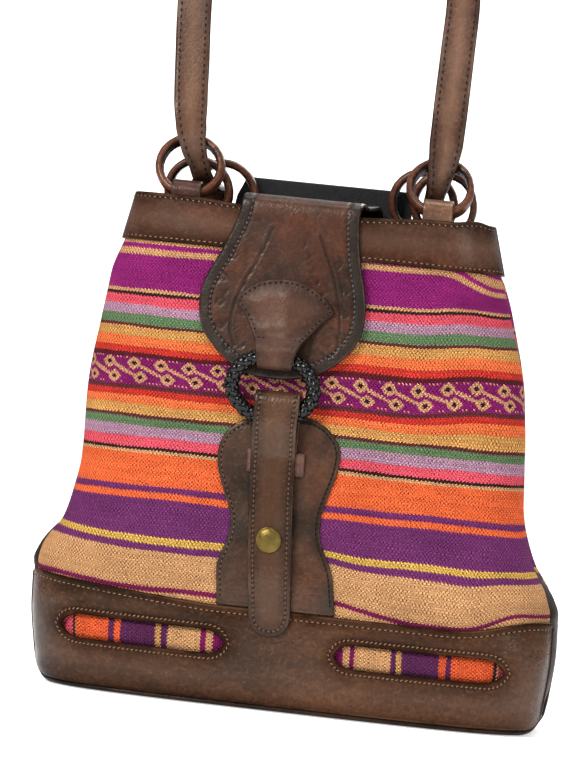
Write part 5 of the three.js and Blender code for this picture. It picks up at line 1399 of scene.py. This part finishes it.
ob = pattern("closure_strap", [cs_loop], CS, 1.8, [TONGUE], grid=1.8, step=1.1, rim=0.8, relief=lambda a, b, d: -0.22 * np.exp(-((d - 3.0) / 0.7) ** 2) + 0.1 * wave(a * 0.15, b * 0.1, 81))
done(ob, "brown_leather", "closure_strap")

# keeper: a rolled reddish strip bridging the back leg
kz = np.linspace(0, 1, 40)
lo, hi = PATCH_OUT + GAP, PATCH_OUT + GAP + 1.8 + GAP
kpath = spline([(-27.0, lo + 0.65), (-26.0, lo + 1.2), (-24.8, hi + 0.5), (-22, hi + 0.65), (-10, hi + 0.65), (0, hi + 0.65), (3.6, hi + 0.5), (4.9, lo + 1.4), (6.9, lo + 0.65)], 0.8, False)
C = np.array([[x, float(wall_y(x, 146.0, -1, 0)) - o, 146.0] for x, o in kpath])
T = np.gradient(C, axis=0)
T /= np.linalg.norm(T, axis=1)[:, None]
Wd = np.tile([0, 0, 1.0], (len(C), 1))
Fl = np.cross(T, Wd)
Fl *= np.sign(-Fl[:, 1:2] - 1e-9)
ob = ribbon("strap_keeper", C, Wd, Fl, 14, 1.3, [KEEPM])
done(ob, "red_brown_leather", "strap_keeper")

# ------------------------------------------------------------------ snap
def lathe(prof, centre, axis, mats, seg=48):
    """Turned piece: prof of (radius, height along the axis) from centre."""
    prof = resample(np.array(prof, float), 0.25, False)
    ax = Vector(axis).normalized()
    e1 = ax.orthogonal().normalized()
    e2 = ax.cross(e1)
    e1, e2, ax = (np.array(v) for v in (e1, e2, ax))
    V, F = [], []
    th = np.arange(seg) / seg * 2 * pi
    n = len(prof)
    for r, h in prof:
        V.append(np.array(centre) + ax * h + r * (np.cos(th)[:, None] * e1 + np.sin(th)[:, None] * e2))
    V = np.vstack(V)
    for i in range(n - 1):
        for j in range(seg):
            k = (j + 1) % seg
            F.append((i * seg + j, i * seg + k, (i + 1) * seg + k, (i + 1) * seg + j))
    F.append(tuple(range(seg))[::-1])
    F.append(tuple(range((n - 1) * seg, n * seg)))
    return V, F


sx, sz = -10.2, 100.8
yw = float(wall_y(sx, sz, -1, 0))
V, F = lathe([(0.4, 0.0), (7.3, 0), (7.6, 0.3), (7.62, 0.7), (7.3, 1.15), (6.6, 1.3), (6.3, 1.12), (6.0, 1.25), (5.0, 1.75), (3.4, 2.2), (1.6, 2.38), (0.3, 2.4)], (sx, yw - (b0 + 4.9) - 0.8, sz), (0, -1, 0), None)
ob = make("snap_cap", V, F, [BRASSM], np.stack([V[:, 0], V[:, 2]], 1), {"edge": np.full(len(V), 5.0), "back": np.zeros(len(V))})
done(ob, "aged_brass", "snap_cap")

# ------------------------------------------------------------------ braided closure ring
def braided_ring():
    topY = float(wall_y(-14, 208.7, -1, 0)) - c0
    lowY = float(wall_y(-11, 171.3, -1, 0)) - 8.5
    tilt = -math.asin((topY - lowY) / 37.4)
    cen = np.array([-14.2, (topY + lowY) / 2, 190.0])
    RX, K = 24.5, 0.7633
    a = np.linspace(0, 2 * pi, 2001)
    cx, cz = RX * np.cos(a), RX * np.sin(a) * K
    L = np.concatenate([[0], np.cumsum(np.hypot(np.diff(cx), np.diff(cz)))])
    per, turns, rt = 3, 8, 3.1
    nl = 480
    ths = np.interp(np.arange(nl) / nl * L[-1], L, a)
    V, F = [], []
    n0 = 0
    def frame_at(al):
        p = np.stack([RX * np.cos(al), 0 * al, RX * np.sin(al) * K], -1)
        t = np.stack([-RX * np.sin(al), 0 * al, RX * np.cos(al) * K], -1)
        t /= np.linalg.norm(t, axis=-1)[..., None]
        nrm = np.stack([t[..., 2], 0 * al, -t[..., 0]], -1)   # outward in the ring's plane
        bi = np.zeros_like(p)
        bi[..., 1] = 1
        return p, t, nrm, bi
    m = np.arange(nl) / nl
    p, t, nr, bi = frame_at(ths)
    for dirn in (1, -1):
        for j in range(per):
            psi = 2 * pi * j / per + dirn * 2 * pi * turns * m
            rad = rt + 0.74 * dirn * np.cos(per * 2 * pi * turns * m)
            er = np.cos(psi)[:, None] * nr + np.sin(psi)[:, None] * bi
            c = p + er * (rad * np.where(True, 1.0, 1.0))[:, None] * 1.0
            c = p + nr * (rad * np.cos(psi) * 1.02)[:, None] + bi * (rad * np.sin(psi) * 0.86)[:, None]
            T = np.roll(c, -1, 0) - np.roll(c, 1, 0)
            T /= np.linalg.norm(T, axis=1)[:, None]
            side = np.cross(T, er)
            side /= np.linalg.norm(side, axis=1)[:, None]
            up = np.cross(side, T)
            sec = np.arange(8) / 8 * 2 * pi
            R = c[:, None] + side[:, None] * (2.15 * np.sign(np.cos(sec)) * np.abs(np.cos(sec)) ** 0.8)[None, :, None] + up[:, None] * (0.7 * np.sin(sec))[None, :, None]
            V.append(R.reshape(-1, 3))
            idx = n0 + np.arange(nl * 8).reshape(nl, 8)
            q = np.stack([idx, np.roll(idx, -1, 1), np.roll(np.roll(idx, -1, 0), -1, 1), np.roll(idx, -1, 0)], -1).reshape(-1, 4)
            F.append(q)
            n0 += nl * 8
    # core under the strands
    sec = np.arange(12) / 12 * 2 * pi
    core = p[:, None] + nr[:, None] * (2.45 * np.cos(sec))[None, :, None] + bi[:, None] * (2.1 * np.sin(sec))[None, :, None]
    V.append(core.reshape(-1, 3))
    idx = n0 + np.arange(nl * 12).reshape(nl, 12)
    F.append(np.stack([idx, np.roll(idx, -1, 1), np.roll(np.roll(idx, -1, 0), -1, 1), np.roll(idx, -1, 0)], -1).reshape(-1, 4))
    V = np.vstack(V)
    F = np.vstack(F)
    ct, st = math.cos(tilt), math.sin(tilt)
    Y = V[:, 1] * ct - V[:, 2] * st
    Z = V[:, 1] * st + V[:, 2] * ct
    V = np.stack([V[:, 0], Y, Z], 1) + cen
    ob = make("closure_ring", V, F, [BRAIDM], np.stack([V[:, 0], V[:, 2]], 1), {"edge": np.full(len(V), 5.0), "back": np.zeros(len(V))})
    done(ob, "black_leather", "closure_ring")


braided_ring()

# ------------------------------------------------------------------ mouth webbing
n = 140
xs = np.linspace(-57, 53.5, n)
def web_map(x, z, h):
    return np.stack([x, wall_y(x, np.minimum(z, 296), 1, -4.0 + h), z + 0 * x], -1)
web_loop = np.vstack([np.stack([xs, np.full(n, 286.2)], 1), np.array([(53.5, 314.6), (-48.5, 314.6), (-50.5, 310), (-54, 303)])])
ob = pattern("mouth_webbing", [web_loop], lambda x, z, h: web_map(x, z, h), 1.6, [WEBM], grid=2.4, step=1.6, rim=0.7, relief=lambda a, b, d: 0.1 * np.sin(a * 2.6) * np.sin(b * 3.0))
done(ob, "black_webbing", "mouth_webbing")

# ------------------------------------------------------------------ carry rings and their loops
CARRY = [("front_left", -77, -21.2, 300, 24, 18), ("front_right", 74.5, -21.2, 303, 34, 18), ("rear_left_outer", -75, 11.9, 285.2, 0, 12), ("rear_left_inner", -61, 23.0, 285.2, 0, 12),
         ("rear_right_outer", 75, 11.9, 291.2, 0, 12), ("rear_right_inner", 61, 23.0, 291.2, 0, 12)]
RING_R, LOOP_BORE, LOOP_SKIN = 18.25, 5.5, 1.8
for nm, x, y, z, tilt, width in CARRY:
    nl, ns = 120, 24
    A, S = np.meshgrid(np.arange(nl) / nl * 2 * pi, np.arange(ns) / ns * 2 * pi, indexing="ij")
    # wrapped leather: a soft flattened section with a lengthwise seam on the inside
    c, s = np.cos(S), np.sin(S)
    ra, ax = 2.6 + 0.05 * np.sin(A * 9 + 1), 4.3
    seam = 0.35 * np.exp(-((((S - pi + pi) % (2 * pi)) - pi) / 0.28) ** 2)
    rr = RING_R + 0.35 + ra * np.sign(c) * np.abs(c) ** 0.8 + seam * 0.6 + 0.10 * np.sin(A * 23 + 2 * np.sin(S)) * 0.5
    yy = ax * np.sign(s) * np.abs(s) ** 0.8
    P = np.stack([rr * np.sin(A), yy, -rr * np.cos(A) + RING_R - 1.2], -1).reshape(-1, 3)
    th = -math.radians(tilt)
    P = np.stack([P[:, 0], P[:, 1] * math.cos(th) - P[:, 2] * math.sin(th), P[:, 1] * math.sin(th) + P[:, 2] * math.cos(th)], 1) + np.array([x, y, z])
    idx = np.arange(nl * ns).reshape(nl, ns)
    q = np.stack([idx, np.roll(idx, -1, 1), np.roll(np.roll(idx, -1, 0), -1, 1), np.roll(idx, -1, 0)], -1).reshape(-1, 4)
    uv = np.stack([(A * RING_R).ravel(), (S * 4).ravel()], 1)
    # the back attribute marks the ring's inner face, which ring_leather paints near-black: painted shade inside the
    # ring
    ob = make(nm + "_ring", P, q, [RINGM], uv, {"edge": np.full(len(P), 5.0), "back": (smooth((-c - 0.25) / 0.3) * 0.9).ravel()})
    body = nm + "_ring_body"
    done(ob, "copper_leather", nm + "_ring", body=body)
    # stitched joint of the wrapping, low on the outer side
    rows = []
    a0_ = math.radians(122 if x < 0 else 118)
    for k in range(5):
        aa = a0_ + (k - 2) * 0.075
        loc = np.array([(RING_R) * math.sin(aa), -4.3, -(RING_R) * math.cos(aa) + RING_R - 1.2])
        tn = np.array([math.sin(aa), 0, -math.cos(aa)])
        nn = np.array([0, -1.0, 0])
        rot = lambda p: np.array([p[0], p[1] * math.cos(th) - p[2] * math.sin(th), p[1] * math.sin(th) + p[2] * math.cos(th)])
        rows.append((rot(loc) + np.array([x, y, z]), rot(tn), rot(nn)))
    stitches(nm + "_ring_joint", [dict(c=np.array([r[0] for r in rows]), t=np.array([r[1] for r in rows]), n=np.array([r[2] for r in rows]), length=3.2, width=0.55, slant=12, mat=T_BLACK, lift=0.02)], "black_leather", body=body, seed=5)
    # loop
    r = LOOP_BORE + LOOP_SKIN / 2
    if nm.endswith("outer"):
        reach = float(wall_y(abs(x) + width / 2, 284, 1, -3.3)) - y
        prof = [(reach, -r + 0.2), (reach * 0.7, -r - 0.1), (reach * 0.4, -r - 0.1), (0, -r)] + [(-r * math.sin(t), -r * math.cos(t)) for t in np.linspace(0.25, 2 * pi - 0.9, 26)] + [(r * 0.83, -r * 0.56), (r * 0.95 + 2, -r + 1.9), (reach * 0.8, -r + 2.2), (reach - 0.2, -r + 2.2)]
        sgn = 1
    else:
        prof = [(-r, -17)] + [(-r, -12), (-r, -6)] + [(-r * math.cos(t), r * math.sin(t)) for t in np.linspace(0, pi * 1.66, 30)] + [(-r * 0.62, -10), (-r * 0.62, -17)]
        sgn = 1 if y < 0 else -1
    path = spline(prof, 0.9, False)
    C = np.stack([np.full(len(path), float(x)), y + sgn * path[:, 0], z + path[:, 1]], 1)
    T = np.gradient(C, axis=0)
    T /= np.linalg.norm(T, axis=1)[:, None]
    Wd = np.tile([1.0, 0, 0], (len(C), 1))
    Fl = np.cross(T, Wd)
    ob = ribbon(nm + "_loop", C, Wd, Fl, width, LOOP_SKIN, [LOOPM if x < 0 else LOOPM2])
    done(ob, "red_brown_leather", nm + "_loop")

# ------------------------------------------------------------------ carrying strap
STRAP_W, STRAP_T, ARCH_Z, ARCH_R = 21.0, 3.0, 430.0, 81.0


def leg_back(sg):
    out = []
    for z, x in ((24, 113), (40, 110.5), (58, 107.6), (75, 104), (95, 99.5), (120, 94), (150, 88), (180, 82.8), (210, 78.2), (240, 74), (262, 71.4), (280, 69.6), (292, 68.6)):
        zc = min(z, 296)
        sl = float(wall_y(x + 4, zc, 1, 0) - wall_y(x - 4, zc, 1, 0)) / 8
        out.append([sg * x, float(wall_y(x, zc, 1, GAP + SKIN + GAP + STRAP_T / 2 + (0.9 if z > 250 else 0.5))), z, 18.5, STRAP_T, 0, sg * sl])
    return out


left = [[-68, 39.4, 301, 15, 3.6, 0], [-68, 36, 304.8, 12.5, 4.2, 0], [-68, 29, 305.2, 12, 4.4, 0], [-68, 20, 305, 12, 4.4, 0], [-68.2, 10, 305, 12, 4.4, 8], [-69, 0, 306.5, 12, 4.4, 22],
        [-70.4, -7, 310.6, 12.5, 4.2, 36], [-72.4, -12, 318, 13.5, 3.9, 40], [-75.6, -16.4, 328, 16, 3.4, 26], [-77.6, -17.4, 340, 18.6, 3.1, 12], [-79, -15.4, 356, 20.4, STRAP_T, 4], [-80, -12, 380, STRAP_W, STRAP_T, 0],
        [-81, -9, 405, STRAP_W, STRAP_T, 0]]
right = [[68, 39.4, 302.4, 15, 3.6, 0], [68, 36, 306.8, 12.5, 4.2, 0], [68, 29, 307.6, 12, 4.4, 0], [68, 20, 307.6, 12, 4.4, 0], [68.2, 10, 308, 12, 4.4, -6], [69, 2, 310, 12.4, 4.4, -16],
         [70.6, -4, 314.4, 13.4, 4, -26], [72.6, -8.2, 322, 15.6, 3.6, -26], [74.6, -10.6, 333, 18.4, 3.1, -14], [76, -11.4, 346, 20.4, STRAP_T, -4], [77.6, -10.6, 370, STRAP_W, STRAP_T, 0], [79.4, -8, 400, STRAP_W, STRAP_T, 0]]
srows = leg_back(-1) + left
for i in range(17):
    a = pi - pi * i / 16
    srows.append([ARCH_R * math.cos(a), -6 + 4 * math.sin(a), ARCH_Z + ARCH_R * math.sin(a), STRAP_W, STRAP_T, 0])
srows += right[::-1] + leg_back(1)[::-1]
srows = [r + [0.0] * (7 - len(r)) for r in srows]
SR = spline([np.array(r) for r in srows], 1.6, closed=False) if False else None
# smooth curve through the rows, sampled evenly, with the other values carried along
P3 = [np.array(r[:3]) for r in srows]
dense, vals = [], []
nR = len(P3)
for i in range(nR - 1):
    p0 = P3[i - 1] if i else 2 * P3[0] - P3[1]
    p1, p2 = P3[i], P3[i + 1]
    p3 = P3[i + 2] if i + 2 < nR else 2 * P3[-1] - P3[-2]
    t = [0, 0, 0, 0]
    for k, (a, b) in enumerate(((p0, p1), (p1, p2), (p2, p3))):
        t[k + 1] = t[k] + max(np.linalg.norm(b - a), 1e-6) ** 0.5
    m = max(2, int(np.linalg.norm(p2 - p1) / 1.7) + 1)
    for j in range(m):
        f = j / m
        TT = t[1] + (t[2] - t[1]) * f
        A1 = (t[1] - TT) / (t[1] - t[0]) * p0 + (TT - t[0]) / (t[1] - t[0]) * p1
        A2 = (t[2] - TT) / (t[2] - t[1]) * p1 + (TT - t[1]) / (t[2] - t[1]) * p2
        A3 = (t[3] - TT) / (t[3] - t[2]) * p2 + (TT - t[2]) / (t[3] - t[2]) * p3
        B1 = (t[2] - TT) / (t[2] - t[0]) * A1 + (TT - t[0]) / (t[2] - t[0]) * A2
        B2 = (t[3] - TT) / (t[3] - t[1]) * A2 + (TT - t[1]) / (t[3] - t[1]) * A3
        dense.append((t[2] - TT) / (t[2] - t[1]) * B1 + (TT - t[1]) / (t[2] - t[1]) * B2)
        fs = f * f * (3 - 2 * f)
        vals.append([srows[i][q] * (1 - fs) + srows[i + 1][q] * fs for q in (3, 4, 5, 6)])
dense.append(P3[-1])
vals.append([srows[-1][q] for q in (3, 4, 5, 6)])
C = np.array(dense)
vals = np.array(vals)
T = np.gradient(C, axis=0)
T /= np.linalg.norm(T, axis=1)[:, None]
Wd, Fl = [], []
for i in range(len(C)):
    arch = float(smooth((C[i, 2] - ARCH_Z - 4) / 50)) * pi / 2 if C[i, 2] > 350 else 0.0
    w = np.array([math.cos(arch), math.sin(arch) + vals[i, 3], 0.0])
    w -= T[i] * w.dot(T[i])
    w /= np.linalg.norm(w)
    tw = math.radians(vals[i, 2])
    w = w * math.cos(tw) + np.cross(T[i], w) * math.sin(tw)
    f = np.cross(T[i], w)
    Wd.append(w)
    Fl.append(f / np.linalg.norm(f))
Wd, Fl = np.array(Wd), np.array(Fl)
# where the strap is gathered it is a curled strip, not a thick one
narrow = np.clip((STRAP_W - vals[:, 0]) / 9.0, 0, 1)
gath = smooth((C[:, 2] - 296) / 6) * narrow
th_ = STRAP_T - 0.2 * gath
sgn = np.where(C[:, 0] < 0, 1.0, 1.0)
bow = 2.6 * gath
STRAP_C, STRAP_WD, STRAP_FL, STRAP_WV = C, Wd, Fl, vals[:, 0]
ob = ribbon("shoulder_strap", C, Wd, Fl, vals[:, 0], th_, [STRAPM], bow=bow)
done(ob, "brown_leather", "shoulder_strap")

# rivets on the back
for nm, sg in (("left_strap_rivet", -1), ("right_strap_rivet", 1)):
    x, z = 110.5, 38.0
    sl = math.atan2(float(wall_y(x + 4, z, 1, 0) - wall_y(x - 4, z, 1, 0)), 8)
    off = GAP + SKIN + GAP + STRAP_T + 0.1 + 0.75
    n = np.array([sg * math.sin(-sl), math.cos(sl), 0])
    cen = np.array([sg * x, float(wall_y(x, z, 1, 0)), z]) + n * off
    V, F = lathe([(0.3, 0.0), (4.0, 0.0), (4.2, 0.35), (3.9, 0.9), (3.0, 1.4), (1.4, 1.68), (0.3, 1.7)], cen, tuple(n), None, 36)
    ob = make(nm, V, F, [BRASSM], np.stack([V[:, 0], V[:, 2]], 1), {"edge": np.full(len(V), 5.0), "back": np.zeros(len(V))})
    done(ob, "aged_brass", nm)

# nodes that stay as they are: the hidden board and the socket
for nm, mt in (("bottom_board", BOARDM), ("snap_socket", BRASSM)):
    o = NODES[nm]
    o.data.materials.clear()
    o.data.materials.append(mt)

# ------------------------------------------------------------------ stitching
def row(c_t_n, **kw):
    c, t, n = c_t_n
    return dict(c=c, t=t, n=n, **kw)


hs = SKIN / 2
# base band: tan row under the top edge, and rows round the windows
top_path = np.array([(s, float(base_top(s)) - 4.0) for s in np.arange(-float(s_seam(60)) + 4, float(s_seam(60)) - 4, 2.0)])
hide = lambda P: (P[:, 0] > -39.5) & (P[:, 0] < 30.0)
rows = [row(along_path(top_path, base_map(-1), hs - 0.18, 3.3, skip=None), length=2.7, width=0.62, slant=6, mat=T_TAN, hole=HOLE, hole_r=0.42)]
for cx in (-WINDOW_X - 1, WINDOW_X - 1):
    rows.append(row(along_path(window_loop(cx, 3.1), base_map(-1), hs + 0.26, 2.7, closed=True), length=2.5, width=0.7, slant=32, mat=T_ORANGE, hole=HOLE, hole_r=0.4))
stitches("front_base_stitching", rows, "brown_leather", seed=11)
stitches("back_base_stitching", [row(along_path(top_path, base_map(1), hs - 0.18, 3.3), length=2.7, width=0.62, slant=6, mat=T_TAN, hole=HOLE, hole_r=0.42)], "brown_leather", seed=12)
# mouth bands
for nm, side, sd in (("front_mouth_stitching", -1, 13), ("back_mouth_stitching", 1, 14)):
    e = float(s_seam(280)) - 3
    ss = np.arange(-e, e, 2.0)
    lowp = np.stack([ss, np.full(len(ss), BAND_LOW + 2.5)], 1)
    topp = np.stack([ss, band_top(ss) - 2.6], 1)
    stitches(nm, [row(along_path(lowp, mouth_map(side), hs - 0.16, 3.4), length=2.6, width=0.6, slant=8, mat=T_ORANGE, hole=HOLE, hole_r=0.42),
                  row(along_path(topp, mouth_map(side), hs - 0.12, 3.5), length=2.0, width=0.7, slant=14, mat=T_TAN, hole=HOLE, hole_r=0.62)], "brown_leather", seed=sd)
# flap
fs_loop = inset(resample(flap_loop, 1.2) if area2(flap_loop) > 0 else resample(flap_loop, 1.2)[::-1], 6.6)
keep = fs_loop[:, 1] > T0 * 0.9
ii = np.where(keep)[0]
seg_ = fs_loop[ii]
stitches("flap_stitching", [row(along_path(seg_, FLAP, FLAP_T / 2 - 0.02, 3.1), length=2.3, width=0.75, slant=26, mat=T_GREY, hole=HOLE, hole_r=0.5)], "tooled_leather", seed=15)
# tab
tl = resample(tab_loop, 1.1)
tl = tl if area2(tl) > 0 else tl[::-1]
ti = inset(tl, 2.0)
lim = tab_zt(218.2)
sel = ti[(ti[:, 1] < lim)]
o_ = np.argsort(np.arctan2(sel[:, 1] - lim, sel[:, 0] + 11))
sel = sel[o_]
stitches("tab_stitching", [row(along_path(sel, TAB, TAB_T / 2 - 0.1, 3.3), length=1.4, width=0.6, slant=0, mat=T_BROWN, hole=HOLE, hole_r=0.62, one=1),
                           row(along_path(np.array([(-26.4, lim + 0.6), (-13, lim - 0.2), (0.8, lim + 0.6)]), TAB, TAB_T / 2 + 0.05, 2.6), length=1.7, width=0.6, slant=0, mat=T_BROWN, hole=HOLE, hole_r=0.5, one=1)], "red_brown_leather", seed=16)
# patch
pl = resample(patch_loop, 1.2)
pl = pl if area2(pl) > 0 else pl[::-1]
pin = inset(pl, 2.4)
pin = pin[(pin[:, 1] > 63.6)]
LEFT = pin[pin[:, 0] < -10]
RIGHT = pin[pin[:, 0] >= -10]
LEFT, RIGHT = LEFT[np.argsort(LEFT[:, 1])], RIGHT[np.argsort(RIGHT[:, 1])]
stitches("patch_stitching", [row(along_path(LEFT[1:], patch_map, PATCH_T / 2 - 0.08, 3.1), length=2.4, width=0.62, slant=4, mat=T_MID, hole=HOLE, hole_r=0.42),
                             row(along_path(RIGHT[1:], patch_map, PATCH_T / 2 - 0.08, 3.1), length=2.2, width=0.55, slant=4, mat=T_BLACK, hole=HOLE, hole_r=0.5)], "red_brown_leather", seed=17)
# closure strap
cl = resample(cs_loop, 1.1)
cl = cl if area2(cl) > 0 else cl[::-1]
ci = inset(cl, 3.0)
ci = ci[ci[:, 1] > CS.t[7]]
o_ = np.argsort(np.arctan2(ci[:, 0] + 10, -(ci[:, 1] - CS.t[7] - 40) * 1.0))
ang = np.where(ci[:, 0] < -10, -1, 1) * (CS.t[-1] - ci[:, 1] + 1e-3) + (ci[:, 0] + 10) * 0.02
low_ = ci[:, 1] > cs_zt(56)
lft = ci[(~low_) & (ci[:, 0] < -10)]
rgt = ci[(~low_) & (ci[:, 0] >= -10)]
tipp = ci[low_]
lft = lft[np.argsort(lft[:, 1])]
rgt = rgt[np.argsort(-rgt[:, 1])]
tipp = tipp[np.argsort(np.arctan2(tipp[:, 0] + 7.5, tipp[:, 1] - cs_zt(56) + 0.5))]
if len(tipp) and abs(tipp[0, 0] - lft[-1, 0]) > 8:
    tipp = tipp[::-1]
cs_path = np.vstack([lft, tipp, rgt])
stitches("closure_strap_stitching", [row(along_path(cs_path, CS, 0.9 - 0.06, 2.9), length=2.5, width=0.62, slant=24, mat=T_MID, hole=HOLE, hole_r=0.42)], "brown_leather", seed=18)
# carrying strap: two rows of dark stitches along both edges, on both faces of its legs
L = np.concatenate([[0], np.cumsum(np.linalg.norm(np.diff(STRAP_C, axis=0), axis=1))])
rows = []
for sd in (-1, 1):
    for fc in (1, -1):
        pos = np.arange(4, L[-1] - 4, 4.1)
        cc = np.stack([np.interp(pos, L, STRAP_C[:, k]) for k in range(3)], 1)
        ww = np.stack([np.interp(pos, L, STRAP_WD[:, k]) for k in range(3)], 1)
        ff = np.stack([np.interp(pos, L, STRAP_FL[:, k]) for k in range(3)], 1)
        wv = np.interp(pos, L, STRAP_WV)
        bw = np.interp(pos, L, bow)
        tt = np.stack([np.interp(pos, L, T[:, k]) for k in range(3)], 1)
        frac = (wv / 2 - 3.0) / (wv / 2)
        c = cc + ww * (sd * (wv / 2 - 3.0))[:, None] + ff * ((fc * (np.interp(pos, L, th_) / 2 - 0.1)) + bw * (1 - frac ** 2))[:, None]
        rows.append(dict(c=c, t=tt, n=ff * fc, length=2.5, width=1.3, height=0.7, slant=0, mat=T_BLACK, lift=0.03, dip=0.1))
stitches("shoulder_strap_stitching", rows, "brown_leather", seed=19)

# ------------------------------------------------------------------ floor, light
me = bpy.data.meshes.new("floor")
me.from_pydata([(-4.5, -4.5, -0.0002), (4.5, -4.5, -0.0002), (4.5, 8.4, -0.0002), (-4.5, 8.4, -0.0002)], [], [(0, 1, 2, 3)])
floor = bpy.data.objects.new("floor", me)
bpy.context.scene.collection.objects.link(floor)
FM = Mat("floor_pale", rough=0.9, spec=0.1)
FM.put(FM.b.inputs["Base Color"], FM.mix(FM.fr(FM.noise(FM.obj(), 3.0, 2), 0.3, 0.7), (0.9, 0.9, 0.9, 1), (0.92, 0.92, 0.92, 1)))
FM.b.inputs["Emission Color"].default_value = (1, 1, 1, 1)
far = FM.node("ShaderNodeVectorMath", {0: FM.obj()}, operation="LENGTH").outputs["Value"]
FM.put(FM.b.inputs["Emission Strength"], FM.fr(far, 0.5, 2.2, 0.5, 0.85))
me.materials.append(FM.m)
# a pale panel far behind the bag, farther off than any camera that looks at it from there
me = bpy.data.meshes.new("backdrop")
bp = [(8.0 + 0.4 * math.sin(a * pi / 24), 0.4 - 0.4 * math.cos(a * pi / 24)) for a in range(13)] + [(8.4, 2.4)]
me.from_pydata([(x, y, z - 0.0001) for y, z in bp for x in (-3.2, 0.6)], [], [(2 * k, 2 * k + 1, 2 * k + 3, 2 * k + 2) for k in range(len(bp) - 1)])
me.polygons.foreach_set("use_smooth", [True] * len(me.polygons))
BM = Mat("backdrop_pale", rough=0.9, spec=0.1)
BM.put(BM.b.inputs["Base Color"], BM.mix(BM.fr(BM.noise(BM.obj(), 3.0, 2), 0.3, 0.7), (0.9, 0.9, 0.9, 1), (0.92, 0.92, 0.92, 1)))
BM.b.inputs["Emission Color"].default_value = (1, 1, 1, 1)
BM.b.inputs["Emission Strength"].default_value = 0.85
me.materials.append(BM.m)
backdrop = bpy.data.objects.new("backdrop", me)
bpy.context.scene.collection.objects.link(backdrop)

world = bpy.data.worlds.new("studio")
bpy.context.scene.world = world
world.use_nodes = True
bg = world.node_tree.nodes["Background"]
bg.inputs[0].default_value = (1, 1, 1, 1)
bg.inputs[1].default_value = 0.35


def area_light(name, loc, aim, size, power, size_y=None):
    ld = bpy.data.lights.new(name, "AREA")
    ld.shape = "RECTANGLE"
    ld.size, ld.size_y = size, size_y or size
    ld.energy = power
    lo = bpy.data.objects.new(name, ld)
    bpy.context.scene.collection.objects.link(lo)
    lo.location = loc
    lo.rotation_euler = (Vector(aim) - Vector(loc)).to_track_quat("-Z", "Y").to_euler()
    return lo


area_light("key", (-1.0, -1.6, 1.5), (0, 0, 0.2), 0.8, 50)
area_light("fill", (1.5, -1.3, 0.8), (0, 0, 0.2), 0.7, 10)
area_light("top", (0.1, 0.1, 1.9), (0, 0, 0.2), 1.0, 16)
area_light("back", (0.5, 1.5, 1.3), (0, 0.6, 0.25), 1.2, 22)
